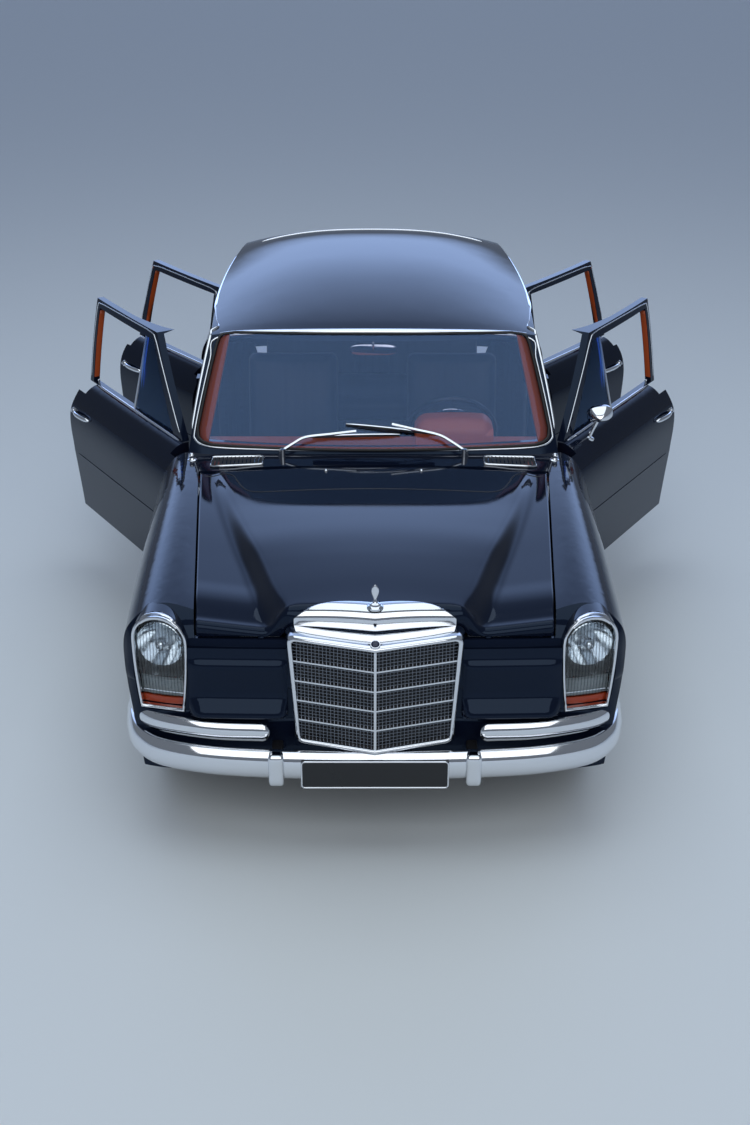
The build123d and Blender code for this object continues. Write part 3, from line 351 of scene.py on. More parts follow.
screen_skin = skin_of("roof", "screens", "cowl", "front_wings")
strip_half = [(0, 0.990), (0.20, 0.989), (0.45, 0.986), (0.66, 0.983), (0.755, 0.987), (0.797, 1.006), (0.801, 1.035),
              (0.778, 1.15), (0.744, 1.29), (0.721, 1.365), (0.50, 1.392), (0.25, 1.402), (0, 1.405)]
strip_ring = [(x, 0, z) for x, z in strip_half] + [(-x, 0, z) for x, z in reversed(strip_half[1:-1])]
piece("screen_strip", swept(*laid(screen_skin, curved(strip_ring, 10, closed=True), backwards),
                            half_round(0.011, 0.006), closed=True))
head_run = mirrored([(0, 1.409), (0.25, 1.406), (0.5, 1.397), (0.705, 1.383)])
piece("header_strip", swept(*laid(screen_skin, curved([(x, 0, z) for x, z in head_run], 8), backwards),
                            half_round(0.026, 0.009), taper=3))

roof_skin = skin_of("roof")
drip_points = [(1.845, 1.03), (2.00, 1.187), (2.155, 1.345), (2.20, 1.382), (2.35, 1.391), (2.87, 1.396), (3.40, 1.392),
               (3.575, 1.383), (3.605, 1.33), (3.645, 1.05)]
pair("drip_rail", swept(*laid(roof_skin, curved([(0, at(s), z) for s, z in drip_points], 10), inwards),
                        half_round(0.008, 0.009), taper=2))

# ---- Windscreen ----
# Curved toughened glass, faintly blue, in a black rubber channel. Cognac leather covers the pillars
# just behind its edges, and the rear window sits in a channel of its own.
# Black rubber for the seals and the filler joints; the same black strip along the bonnet's scoop line is painted shade.
black_rubber_and_shade = finish_of("black_rubber_and_shade", (0.010, 0.010, 0.011), 0.0, 0.45, 0.62, 500.0, 0.00002)
cognac = finish_of("cognac_leather", (0.40, 0.066, 0.014), 0.0, 0.38, 0.52, 420.0, 0.0002)
# The glass's film is a blue metal, so its reflections come out tinted blue: a painted blue over the real reflections.
# The light through it is only faintly blue.
window_glass = finish_of("window_glass", (0.36, 0.58, 1.0), 1.0, 0.0, 0.03, 3.0, 0.00002)
window_tree = window_glass.node_tree
window_film = node(window_tree, "MapRange", {"To Min": 0.014, "Value": node(
    window_tree, "Fresnel", {"IOR": 1.5}).outputs["Fac"]})
see_through = node(window_tree, "BsdfTransparent", {"Color": (0.86, 0.86, 0.90, 1)})
window_mix = node(window_tree, "MixShader", {0: window_film.outputs["Result"], 1: see_through.outputs[0],
                                             2: shader_of(window_glass).outputs[0]})
feed(window_tree.nodes["Material Output"], {"Surface": window_mix.outputs[0]})

screen_foot, screen_head = 0.990, 1.390
screen_side = [(screen_foot, 0.722), (0.998, 0.762), (1.012, 0.783), (1.040, 0.790), (1.15, 0.766), (1.29, 0.732),
               (1.355, 0.713), (1.378, 0.700), (screen_head, 0.665)]


def screen_out(x):
    """The direction that the windscreen faces at a place across the car."""
    return Vector((-0.26 * x, -1.0, 1.01)).normalized()


def on_windscreen(x, z, out):
    """A place on the windscreen's outer face, moved outwards."""
    return Vector((x, at(1.611 + 1.01 * (z - 0.93) + 0.09 * (x / 0.829) ** 2), z)) + screen_out(x) * out


def screen_half(z):
    """Half the width of the glass at a height."""
    low = max(spot for spot in screen_side if spot[0] <= z)
    high = min(spot for spot in screen_side if spot[0] > z) if z < screen_head else low
    t = (z - low[0]) / (high[0] - low[0]) if high != low else 0
    return low[1] + (high[1] - low[1]) * t


def sheet_of(rows, closed=False, cap=False):
    """Points and faces for rows of the same length; closed rows are rings, and cap fills the last one."""
    wide = len(rows[0])
    faces = [(i * wide + j, i * wide + (j + 1) % wide, (i + 1) * wide + (j + 1) % wide, (i + 1) * wide + j)
             for i in range(len(rows) - 1) for j in range(wide if closed else wide - 1)]
    if cap:
        faces.append(tuple(range((len(rows) - 1) * wide, len(rows) * wide)))
    return [p for row in rows for p in row], faces


def rim_of(rows, cut=0):
    """The line round a sheet; a cut of 1 leaves out the two corners of its last row."""
    return ([row[0] for row in rows[:-1]] + rows[-1][cut:-1] + [row[-1] for row in reversed(rows[1:len(rows) - cut])]
            + list(reversed(rows[0][1:])))


def thicken(made, thickness, offset=-1):
    """Gives a sheet its thickness: inwards for an offset of -1, both ways for 0, outwards for 1."""
    sheet = made.modifiers.new("sheet", "SOLIDIFY")
    sheet.thickness, sheet.offset = thickness, offset


def soften(made):
    soft = made.modifiers.new("soft", "SUBSURF")
    soft.levels = soft.render_levels = 1


glass_stand, glass_thick = 0.0065, 0.005
screen_rows = []
for z in (screen_foot, 0.993, 0.998, 1.004, 1.012, 1.025, 1.045, 1.08, 1.12, 1.16, 1.20, 1.24, 1.28, 1.32, 1.345,
          1.362, 1.374, 1.383, 1.3899):
    bow = max(0.0, min(1.0, (z - 1.30) / 0.09))
    screen_rows.append([on_windscreen(u * screen_half(z), z + (0.0075 * (1 - u * u) + 0.0005) * bow, glass_stand)
                        for u in (k / 20 - 1 for k in range(41))])
windscreen = piece("windscreen", sheet_of(screen_rows), window_glass, sharp=80)
rear_glass_skin = skin_of("screens")
rear_rows = []
for k in range(13):
    z = 1.034 + 0.322 * k / 12
    half = 0.634 - (z - 1.034) * 0.245
    rear_rows.append(laid(rear_glass_skin, [(half * (j / 12 - 1), 0, z) for j in range(25)], forwards, 0.002)[0])
rear_window = piece("rear_window", sheet_of(rear_rows), window_glass, sharp=80)
for glazed in (windscreen, rear_window):
    thicken(glazed, glass_thick)
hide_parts("screens")
screen_rim = rim_of(screen_rows, cut=1)
piece("screen_seal", swept(screen_rim, [screen_out(p.x) for p in screen_rim], half_round(0.013, 0.006), closed=True),
      black_rubber_and_shade)
trim_rows = []
for z in (0.9945, 1.0, 1.006, 1.03, 1.08, 1.14, 1.20, 1.26, 1.32, 1.36, 1.388):
    inner, outer = 0.738 - max(z - 1.0, 0) * 0.2097, screen_half(min(z, 1.3899)) - 0.002
    trim_rows.append([on_windscreen(inner + (outer - inner) * t, z, lift)
                      for t, lift in ((-0.06, -0.013), (0.0, 0.0018), (0.5, 0.0030), (1.0, 0.0018))])
pair("pillar_trim", sheet_of(trim_rows), cognac, sharp=80)
piece("screen_base_trim", sheet_of([[on_windscreen(0.74 * (k / 16 - 1), z, lift) for k in range(33)] for z, lift in
                                    ((0.993, 0.0015), (0.998, 0.0025), (1.003, 0.001), (1.006, -0.012))]),
      cognac, sharp=80)
rear_rim = rim_of(rear_rows)
rear_out = [Vector((0.3 * p.x, 1.0, 0.95)).normalized() for p in rear_rim]
piece("rear_window_seal", swept(rear_rim, rear_out, half_round(0.022, 0.008), closed=True), black_rubber_and_shade)
piece("rear_window_strip", swept([p + Vector((p.x * 0.018, 0.002, (p.z - 1.19) * 0.04 + 0.002)) for p in rear_rim],
                                 rear_out, half_round(0.008, 0.008), closed=True))

# ---- Bonnet ----
# One deep-drawn steel lid: a broad raised middle with sharp flanks that close in on the grille, and
# flatter strips along the wings. Its front edge turns down over the nose; it opens at the screen end.
wing_skin = skin_of("front_wings")


def between(table, value):
    """A smooth value from (place, value) pairs."""
    if value <= table[0][0]:
        return table[0][1]
    for i, ((a, low), (b, high)) in enumerate(zip(table, table[1:])):
        if value <= b:
            t = (value - a) / (b - a)
            before = table[i - 1] if i else (2 * a - b, 2 * low - high)
            after = table[i + 2] if i + 2 < len(table) else (2 * b - a, 2 * high - low)
            m0 = (high - before[1]) / (b - before[0]) * (b - a)
            m1 = (after[1] - low) / (after[0] - a) * (b - a)
            return ((2 * t ** 3 - 3 * t * t + 1) * low + (t ** 3 - 2 * t * t + t) * m0
                    + (3 * t * t - 2 * t ** 3) * high + (t ** 3 - t * t) * m1)
    return table[-1][1]


def share_of(value, start, run):
    """How far a value is along a run, held between 0 and 1."""
    return max(0.0, min(1.0, (value - start) / run))


def eased(t):
    return t * t * (3 - 2 * t)


def lid_half(s):
    """Half the lid's width at a station, up to the shut line."""
    return 0.632 + 0.120 * s / 1.5 - 0.0005


wing_edge = []
for s in (0.24, 0.36, 0.50, 0.70, 0.90, 1.10, 1.30, 1.49):
    places, _ = laid(wing_skin, [(lid_half(s) + 0.012, at(s + d), 2.0) for d in (-0.012, 0, 0.012)], down)
    wing_edge.append((s, sum(p.z for p in places) / len(places)))
# Each table gives a height or a width at stations along the lid.
ridge = [(0.12, 0.976), (0.16, 0.978), (0.26, 0.982), (0.40, 0.990), (0.50, 0.995), (0.60, 0.999), (0.75, 1.0025),
         (0.90, 1.002), (1.10, 0.999), (1.30, 0.9925), (1.50, 0.9855)]
arch = [(0.12, 0.026), (0.20, 0.024), (0.30, 0.021), (0.50, 0.017), (0.70, 0.013), (0.90, 0.011), (1.10, 0.009),
        (1.30, 0.006), (1.50, 0.0045)]
flank = [(0.12, 0.335), (0.19, 0.352), (0.30, 0.390), (0.44, 0.427), (0.60, 0.468), (0.75, 0.510), (1.00, 0.578),
         (1.27, 0.645), (1.50, 0.690)]


def lid_height(x, s):
    """The lid's height: the raised middle inside its flank, the strip along the wing outside it."""
    x = abs(x)
    middle = between(ridge, s) - between(arch, s) * (x / 0.3) ** 2
    inward = lid_half(s) - x
    outer = between(wing_edge, s) - 0.13 * inward + 0.16 * max(inward - 0.16, 0) ** 2
    wide = 0.060 - 0.012 * min(s, 1.0)
    t = share_of(x, between(flank, s) - wide, 2 * wide)
    share = t ** 3 * (t * (6 * t - 15) + 10)
    return middle * (1 - share) + outer * share


def lid_front(x):
    """The station and the foot height of the lid's front edge across the car."""
    x = abs(x)
    share = eased(share_of(x, 0.305, 0.045))
    return 0.1195 + 0.2 * min(x, 0.34), 0.880 * (1 - share) + 0.8425 * share


def lid_edge(x):
    """The radius of the lid's front edge, largest over the grille."""
    return 0.046 - 0.020 * eased(share_of(abs(x), 0.27, 0.07))


lid_back, lid_front_half, lid_bend_steps, lid_run_steps = 1.4985, 0.6375, 7, 73
lid_columns = sorted({round(side * v, 4) for side in (-1, 1) for v in
                      [k * 0.02 for k in range(14)] + [0.27 + 0.0075 * k for k in range(50)]})
lid_rows = []
for column in [x / lid_front_half for x in lid_columns if abs(x) <= lid_front_half]:
    x = column * lid_half(0.2)
    front, foot = lid_front(x)
    radius = lid_edge(x)
    first = front + radius
    crown = lid_height(x, first)
    row = [Vector((x, at(front), foot))]
    for k in range(lid_bend_steps):
        angle = pi / 2 * k / (lid_bend_steps - 1)
        row.append(Vector((x, at(front + radius * (1 - cos(angle))), crown - radius + radius * sin(angle))))
    for k in range(1, lid_run_steps + 1):
        s = first + (lid_back - first) * (k / lid_run_steps) ** 1.15
        x = column * lid_half(max(s, 0.2))
        row.append(Vector((x, at(s), lid_height(x, s))))
    lid_rows.append(row)
bonnet_lid = piece("bonnet_lid", sheet_of(lid_rows), body_paint, "bonnet", sharp=70)
thicken(bonnet_lid, 0.009)
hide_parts("bonnet")

# ---- Grille ----
# A plated pressed shell, a shallow vee in plan, standing in front of the bonnet. Four bars and a
# centre upright hold a fine wire mesh in front of a flat near-black sheet for the radiator: its black paint,
# and painted shade for the depth behind the mesh.
vee_tip, vee_slope = 0.003, 0.3
mesh_low, mesh_high, mesh_foot_half, mesh_flare = 0.470, 0.868, 0.272, 0.025
mesh_tall = mesh_high - mesh_low
# Near-black: the black paint of the bumper brackets and the radiator, and painted shade behind the grille mesh, in the
# vent openings and in the wheels' slots.
black_and_painted_shade = finish_of("black_and_painted_shade", (0.006, 0.006, 0.008), 0.0, 0.5, 0.7, 220.0, 0.0004)
mesh_wire = finish_of("mesh_wire", (0.22, 0.24, 0.28), 1.0, 0.26, 0.38, 500.0, 0.00001)


def vee_y(x, inset=0.0):
    return at(vee_tip + inset + vee_slope * abs(x))


def frame_side(z):
    """Half the width of the mesh opening at a height."""
    return mesh_foot_half + (z - mesh_low) / mesh_tall * mesh_flare


def corner_arc(x, z, radius, start, steps):
    """Places round a quarter turn about (x, z), from a start angle in degrees."""
    return [(x + radius * cos(radians(start + 90 / steps * k)), z + radius * sin(radians(start + 90 / steps * k)))
            for k in range(steps + 1)]


# The four corners of an upright frame, as the signs of x and z and the angle at which each begins.
frame_corners = ((1, -1, -90), (1, 1, 0), (-1, 1, 90), (-1, -1, 180))


def grille_ring(grow, inset, back=None):
    """The shell's outline, grown outwards, with rounded corners, laid on the vee or on a flat back."""
    low, high = mesh_low - grow, mesh_high + grow
    corner = 0.014 + grow * 0.8
    ring = []
    for x_sign, z_sign, start in frame_corners:
        z_edge, z_next = (low, high) if z_sign < 0 else (high, low)
        x_edge = frame_side(z_edge) + grow
        ring += corner_arc(x_sign * (x_edge - corner), z_edge - z_sign * corner, corner, start, 4)
        x, z = ring[-1]
        if x_sign == z_sign:
            ring += [(x - 2 * x * k / 10, z_edge) for k in range(1, 10)]
        else:
            x_far, z_far = x_sign * (frame_side(z_next) + grow), z_next + z_sign * corner
            ring += [(x + (x_far - x) * k / 6, z + (z_far - z) * k / 6) for k in range(1, 6)]
    return [Vector((x, at(back) if back else vee_y(x, inset), z)) for x, z in ring]


shell_steps = ((0.0, 0.032), (0.0, 0.010), (0.003, 0.004), (0.008, 0.001), (0.015, 0.003), (0.019, 0.009),
               (0.021, 0.020), (0.023, 0.060), (0.027, 0.0, 0.176))
grille_shell = piece("grille_shell", sheet_of([grille_ring(*step) for step in shell_steps], closed=True), sharp=50)


def join(*parts):
    points, faces = [], []
    for more_points, more_faces in parts:
        first = len(points)
        points += list(more_points)
        faces += [tuple(first + i for i in face) for face in more_faces]
    return points, faces


def bar(a, b, wide, deep, inset):
    """A straight square bar between two (x, z) places on the vee."""
    ends = []
    for x, z in (a, b):
        y = vee_y(x, inset)
        flat = abs(a[1] - b[1]) < abs(a[0] - b[0])
        dx, dz = (0, wide / 2) if flat else (wide / 2, 0)
        ends += [Vector((x - dx, y, z - dz)), Vector((x + dx, y, z + dz)), Vector((x + dx, y + deep, z + dz)),
                 Vector((x - dx, y + deep, z - dz))]
    return ends, [(0, 1, 2, 3), (4, 5, 6, 7), (0, 1, 5, 4), (1, 2, 6, 5), (2, 3, 7, 6), (3, 0, 4, 7)]


row_height = mesh_tall / 5
bright_bars, fine_bars = [bar((0, mesh_low), (0, mesh_high), 0.009, 0.014, 0.008)], []
for side in (-1, 1):
    for row in range(5):
        z = mesh_low + row * row_height
        if row:
            bright_bars.append(bar((0, z), (side * (frame_side(z) + 0.002), z), 0.006, 0.012, 0.009))
        for wire in range(1, 6):
            level = z + wire * row_height / 6
            fine_bars.append(bar((0, level), (side * (frame_side(level) + 0.002), level), 0.0019, 0.004, 0.018))
    for wire in range(1, 22):
        x = side * wire * 0.0134
        low = mesh_low + max(0.0, abs(x) - mesh_foot_half) / mesh_flare * mesh_tall
        fine_bars.append(bar((x, low), (x, mesh_high), 0.0019, 0.004, 0.020))
piece("grille_bars", join(*bright_bars), sharp=20)
piece("grille_mesh", join(*fine_bars), mesh_wire, sharp=20)
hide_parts("grille")
# A flat near-black sheet behind the mesh stands for the radiator: its black paint, and painted shade for the depth of
# the core.
radiator_rows = [[Vector((x, vee_y(x, 0.045), z)) for x in (-0.295, -0.15, 0, 0.15, 0.295)] for z in (0.455, 0.885)]
piece("radiator_face", sheet_of(radiator_rows), black_and_painted_shade)


def lathe(outline, steps=32):
    """A profile of (radius, height) pairs turned about the origin's Z."""
    points, faces, count = [], [], len(outline)
    for k in range(steps):
        angle = 2 * pi * k / steps
        points += [Vector((r * cos(angle), r * sin(angle), h)) for r, h in outline]
        for i in range(count - 1):
            a, b = k * count + i, ((k + 1) % steps) * count + i
            faces.append((a, b, b + 1, a + 1))
    return points, faces


def set_at(place, out):
    """The move that stands a piece made about the origin's Z on a place, facing out."""
    return Matrix.Translation(place) @ Vector(out).to_track_quat("Z", "Y").to_matrix().to_4x4()


badge_blue = finish_of("badge_blue", (0.006, 0.012, 0.045), 0.0, 0.08, 0.14, 300.0, 0.00001)
badge_place = set_at((0, at(0.026), 0.893), (0, -0.42, 1))
piece("grille_stud_rim", lathe([(0.017, -0.004), (0.0185, 0.001), (0.0175, 0.004), (0.0155, 0.0045), (0.0145, 0.002)]),
      turn=badge_place)
piece("grille_stud", lathe([(0.0001, 0.005), (0.006, 0.0046), (0.011, 0.0034), (0.015, 0.001), (0.015, -0.003)]),
      badge_blue, turn=badge_place)

# ---- Bonnet front strip and mascot ----
# A broad plated crescent is riveted over the bonnet's front edge. On it stands a plain plated
# blade on a stepped round foot.
strip_half_width, strip_stand, strip_tip_run = 0.292, 0.0022, 0.0275
strip_rows = []
for k in range(49):
    x = strip_half_width * sin(pi / 2 * (k / 24 - 1))
    front, _ = lid_front(x)
    radius = lid_edge(x)
    crown = lid_height(x, front + radius)
    share = max(0.0, 1 - (abs(x) / strip_half_width) ** 3.0)
    low = 0.8935 + 0.006 * share
    flat, bend = crown - radius - low, radius * pi / 2
    row = []
    for step in range(15):
        run = (strip_tip_run + (flat + bend + 0.016 - strip_tip_run) * share) * step / 14
        if run <= flat:
            row.append(Vector((x, at(front) - strip_stand, low + run)))
        elif run <= flat + bend:
            angle = (run - flat) / radius
            row.append(Vector((x, at(front + radius * (1 - cos(angle))) - strip_stand * cos(angle),
                               crown - radius + (radius + strip_stand) * sin(angle))))
        else:
            s = front + radius + run - flat - bend
            row.append(Vector((x, at(s), lid_height(x, s) + strip_stand)))
    strip_rows.append(row)
bonnet_strip = piece("bonnet_strip", sheet_of(strip_rows), body="bonnet", sharp=60)
thicken(bonnet_strip, 0.0035, 1)
soften(bonnet_strip)
mascot_stand = set_at((0, at(0.152), lid_height(0, 0.152) + 0.002), up)
piece("mascot_foot", lathe([(0.030, -0.004), (0.030, 0.003), (0.024, 0.008), (0.021, 0.009), (0.019, 0.015),
                            (0.010, 0.019), (0.007, 0.026), (0.0055, 0.034), (0.0001, 0.035)]), body="bonnet",
      turn=mascot_stand)
blade_sizes = ((0.030, 0.005, 0.004), (0.040, 0.009, 0.0045), (0.052, 0.0135, 0.0045), (0.064, 0.015, 0.004),
               (0.074, 0.0125, 0.0035), (0.083, 0.007, 0.0025), (0.088, 0.0015, 0.001))
blade_rows = [[Vector((x, y, height)) for x, y in oval(wide, deep, 12)] for height, wide, deep in blade_sizes]
soften(piece("mascot_blade", sheet_of(blade_rows, closed=True, cap=True), body="bonnet", sharp=60, turn=mascot_stand))

# ---- Headlamp units ----
# One upright glass covers a round main reflector above, a smaller lamp and an amber strip below.
# The plated bowl sits in the wing; its rim carries a bright cap over the top.
lamp_x, lamp_half, lamp_low, lamp_high, lamp_sweep = 0.785, 0.106, 0.532, 0.922, 0.25
lamp_main = 0.787


def lamp_y(x, station):
    """The row's y on the lamp's swept face."""
    return at(station + lamp_sweep * (x - lamp_x))


def lamp_ring(grow, station):
    """The unit's outline, grown outwards, at a station that follows the swept face."""
    w, low, high = lamp_half + grow, lamp_low - grow, lamp_high + grow
    middle, foot = high - w, (lamp_half + grow) * 0.8
    side = [(foot + (w - foot) * sin(pi / 2 * k / 8), low + (middle - low) * k / 8) for k in range(1, 9)]
    ring = [(lamp_x + foot * (k / 4 * 2 - 1), low) for k in range(5)]
    ring += [(lamp_x + x, z) for x, z in side]
    ring += [(lamp_x + w * cos(pi * k / 16), middle + w * sin(pi * k / 16)) for k in range(1, 17)]
    ring += [(lamp_x - x, z) for x, z in reversed(side[:-1])]
    return [Vector((x, lamp_y(x, station), z)) for x, z in ring]


lamp_silver = finish_of("lamp_silver", (0.74, 0.77, 0.80), 1.0, 0.06, 0.13, 60.0, 0.0004)
rim_steps = [(-0.0145, 0.214), (-0.0135, 0.200), (-0.011, 0.1925), (-0.007, 0.1905), (-0.003, 0.193),
             (-0.0015, 0.200), (-0.0015, 0.222)]
bowl_steps = [(-0.014, 0.225), (-0.018, 0.25), (-0.03, 0.285), (-0.055, 0.30)]
pair("lamp_rim", sheet_of([lamp_ring(*step) for step in rim_steps], closed=True), sharp=60)
pair("lamp_bowl", sheet_of([lamp_ring(*step) for step in bowl_steps], closed=True, cap=True), lamp_silver, sharp=30)


def lamp_place(station):
    return set_at((lamp_x, at(station), lamp_main), (0.24, -1, 0.0))


pair("lamp_reflector", lathe([(0.006, -0.070), (0.02, -0.066), (0.045, -0.052), (0.066, -0.030), (0.080, -0.002),
                              (0.086, 0.012), (0.089, 0.010)], 40), lamp_silver, sharp=70, turn=lamp_place(0.245))
pair("lamp_bulb_shield", lathe([(0.0001, 0.020), (0.012, 0.018), (0.019, 0.008), (0.020, -0.010), (0.016, -0.030)], 24),
     sharp=60, turn=lamp_place(0.235))
frosted_lens = finish_of("frosted_lens", (0.30, 0.33, 0.34), 0.0, 0.25, 0.4, 160.0, 0.0006)
lens_rows = []
for k in range(49):
    u = k / 24 - 1
    x = lamp_x + 0.079 * u
    y = lamp_y(x, 0.231) - 0.007 * (1 - u * u) - 0.0012 * (k % 2)
    lens_rows.append([Vector((x, y + back, z)) for back, z in
                      ((0.012, 0.579), (0.002, 0.581), (0, 0.586), (0, 0.640), (0.003, 0.647), (0.014, 0.650))])
pair("lower_lens", sheet_of(lens_rows), frosted_lens, sharp=40)
amber = finish_of("amber_lens", (0.42, 0.050, 0.012), 0.0, 0.10, 0.2, 90.0, 0.0005)
feed(shader_of(amber), {"Transmission Weight": 0.25})


def slab_of(rows, back):
    """Two rows of places across, and the same two further back, joined along their long sides."""
    wide = len(rows[0])
    points = [p for row in rows for p in row]
    points += [p + Vector((0, back, 0)) for p in points]
    faces = []
    for a, b in ((0, 1), (2, 3), (1, 3), (0, 2)):
        faces += [(a * wide + k, a * wide + k + 1, b * wide + k + 1, b * wide + k) for k in range(wide - 1)]
    return points, faces


amber_rows = []
for z in (0.550, 0.576):
    places = [(lamp_x + 0.076 * u, 0.006 * (1 - u ** 2)) for u in (k / 4 - 1 for k in range(9))]
    amber_rows.append([Vector((x, lamp_y(x, 0.224 - curve), z)) for x, curve in places])
pair("amber_strip", slab_of(amber_rows, 0.02), amber, sharp=30)
ledge_rows = [[Vector((lamp_x + dx, at(0.222 + lamp_sweep * dx), z)) for dx in (-0.082, 0, 0.082)]
              for z in (0.600, 0.596)]
pair("lamp_ledge", slab_of(ledge_rows, 0.05), lamp_silver)
cap_skin = skin_of("front_wings", "headlamp_housings")
cap_rows = []
for k in range(25):
    angle = radians(46 + 90 * k / 24)
    wide = 0.030 * sin(pi * (k + 0.8) / 25.6) ** 0.55
    row = []
    for j in range(6):
        r = lamp_half - 0.0125 + wide * j / 5
        x = lamp_x + r * cos(angle)
        spot = Vector((x, lamp_y(x, 0.1865 + 0.5 * wide * (j / 5) ** 2), 0.816 + r * sin(angle)))
        found, _ = laid(cap_skin, [spot], (0, 1, -0.75), 0.0035)
        row.append(found[0] if j > 2 and found and (found[0] - spot).length < 0.05 else spot)
    cap_rows.append(row)
for made in pair("lamp_cap", sheet_of(cap_rows), sharp=60):
    thicken(made, 0.003)

# The glass has upright flutes: they show in its bump, and as light and dark bands in its tone, which are
# painted light and shade.
lamp_glass, glass_tree, glass_shader = material_of("lamp_glass")
flutes = node(glass_tree, "TexWave", {"Vector": node(glass_tree, "TexCoord").outputs["Object"], "Scale": 26.0},
              bands_direction="X").outputs["Fac"]
flute_bump = node(glass_tree, "Bump", {"Height": flutes, "Distance": 0.0016, "Strength": 0.8})
feed(glass_shader, {"Roughness": 0.02, "Transmission Weight": 1.0, "IOR": 1.45, "Normal": flute_bump.outputs["Normal"],
                    "Base Color": ramp(glass_tree, flutes, [(0.0, 0.40, 0.46, 0.50), (0.45, 0.95, 0.98, 1.0)])})
dress(lamp_glass, "headlamp_glasses")

# ---- Front plate ----
# A blank of pressed steel, painted black. A thin plated frame with rounded corners holds it to the
# bumper, between the two guards.
plate_black = finish_of("plate_black", (0.010, 0.011, 0.014), 0.0, 0.22, 0.34, 400.0, 0.00003)
dress(plate_black, "front_plate")


def plate_frame(name, half, low, high, y, facing, body="car_body"):
    """A thin bright frame round a plate, with rounded corners."""
    corner, ring = 0.012, []
    for sx, sz, start in frame_corners:
        ring += corner_arc(sx * (half - corner), (low if sz < 0 else high) - sz * corner, corner, start, 3)
    piece(name, swept([Vector((x, y, z)) for x, z in ring], (0, facing, 0), half_round(0.007, 0.004), closed=True),
          body=body)


plate_frame("front_plate_frame", 0.267, 0.316, 0.426, at(0.0022), -1)


# ---- Bumpers ----
# Each is a rolled and plated steel blade across the car, a shorter one above it at each corner with a
# rounded inner end, and two upright guards. Brackets bolt them to the body.
def cube_of(cuts):
    """A cube of side 2 with its faces cut into a grid, to be shaped."""
    work = bmesh.new()
    bmesh.ops.create_cube(work, size=2)
    bmesh.ops.subdivide_edges(work, edges=work.edges[:], cuts=cuts, use_grid_fill=True)
    return work


def core_of(place, half, radius):
    """The nearest place on a block's core, which its rounding is measured from."""
    return Vector([max(-(h - radius), min(h - radius, c)) for c, h in zip(place, half)])


def stout(size, radius, place, cuts=7):
    """A forged or cast block with rounded edges."""
    work = cube_of(cuts)
    half = Vector(size) / 2
    for v in work.verts:
        spot = Vector([c * h for c, h in zip(v.co, half)])
        core = core_of(spot, half, radius)
        away = spot - core
        if away.length > radius:
            spot = core + away.normalized() * radius
        v.co = spot + Vector(place)
    work.verts.index_update()
    form = [v.co.copy() for v in work.verts], [tuple(v.index for v in face.verts) for face in work.faces]
    work.free()
    return form


def rolled(high, crown, back):
    """A blade's section: flat behind, crowned outside, with rolled edges."""
    outer = [(high / 2 * u, crown * (1 - abs(u) ** 2.6)) for u in
             (-1, -0.97, -0.9, -0.75, -0.5, -0.25, 0, 0.25, 0.5, 0.75, 0.9, 0.97, 1)]
    return outer + [(high / 2, -back + 0.004), (high / 2 - 0.004, -back), (-high / 2 + 0.004, -back),
                    (-high / 2, -back + 0.004)]


def plan_line(points, steps, z):
    """A level line through (x, station) places, and its outward directions."""
    line = curved([(x, at(s), z) for x, s in points], steps)
    outs = []
    for i in range(len(line)):
        along = line[min(i + 1, len(line) - 1)] - line[max(i - 1, 0)]
        outs.append(Vector((along.y, -along.x, 0)).normalized())
    return line, outs


front_half = [(0.0, 0.030), (0.330, 0.036), (0.600, 0.064), (0.790, 0.124), (0.880, 0.205), (0.920, 0.305),
              (0.938, 0.440)]
rear_half = [(0.0, 5.512), (0.400, 5.508), (0.700, 5.478), (0.850, 5.412), (0.915, 5.320), (0.940, 5.180),
             (0.950, 5.020)]
front_corner = [(0.385, 0.099), (0.397, 0.0996), (0.409, 0.1003), (0.430, 0.102), (0.600, 0.116),
                (0.785, 0.170), (0.875, 0.240), (0.918, 0.335), (0.936, 0.450)]
rear_corner = [(0.948, 5.020), (0.936, 5.180), (0.910, 5.312), (0.848, 5.400), (0.700, 5.466), (0.440, 5.489),
               (0.419, 5.4903), (0.407, 5.4912), (0.395, 5.492)]
# Each bracket is given by its x, its station, its length and its height.
for which, wide_run, corner_run, guard_station, arms in (
        ("front", mirrored(front_half), front_corner, 0.029,
         ((0.36, 0.125, 0.150, 0.405), (0.62, 0.156, 0.088, 0.488))),
        ("rear", list(reversed(mirrored(rear_half))), rear_corner, 5.511,
         ((0.36, 5.450, 0.100, 0.405), (0.62, 5.440, 0.080, 0.488)))):
    blade = piece(f"{which}_bumper_blade", swept(*plan_line(wide_run, 8, 0.3905), rolled(0.111, 0.020, 0.024)),
                  sharp=50)
    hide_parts(f"{which}_bumper")
    pair(f"{which}_corner_blade", swept(*plan_line(corner_run, 5, 0.488), rolled(0.072, 0.014, 0.022), taper=14),
         sharp=50)
    pair(f"{which}_guard", stout((0.058, 0.058, 0.130), 0.014, (0.360, at(guard_station), 0.383)), sharp=50)
    pair(f"{which}_bumper_arms", join(*[stout((0.040, run, 0.036), 0.006, (x, at(middle), z), cuts=3)
                                        for x, middle, run, z in arms]), black_and_painted_shade)

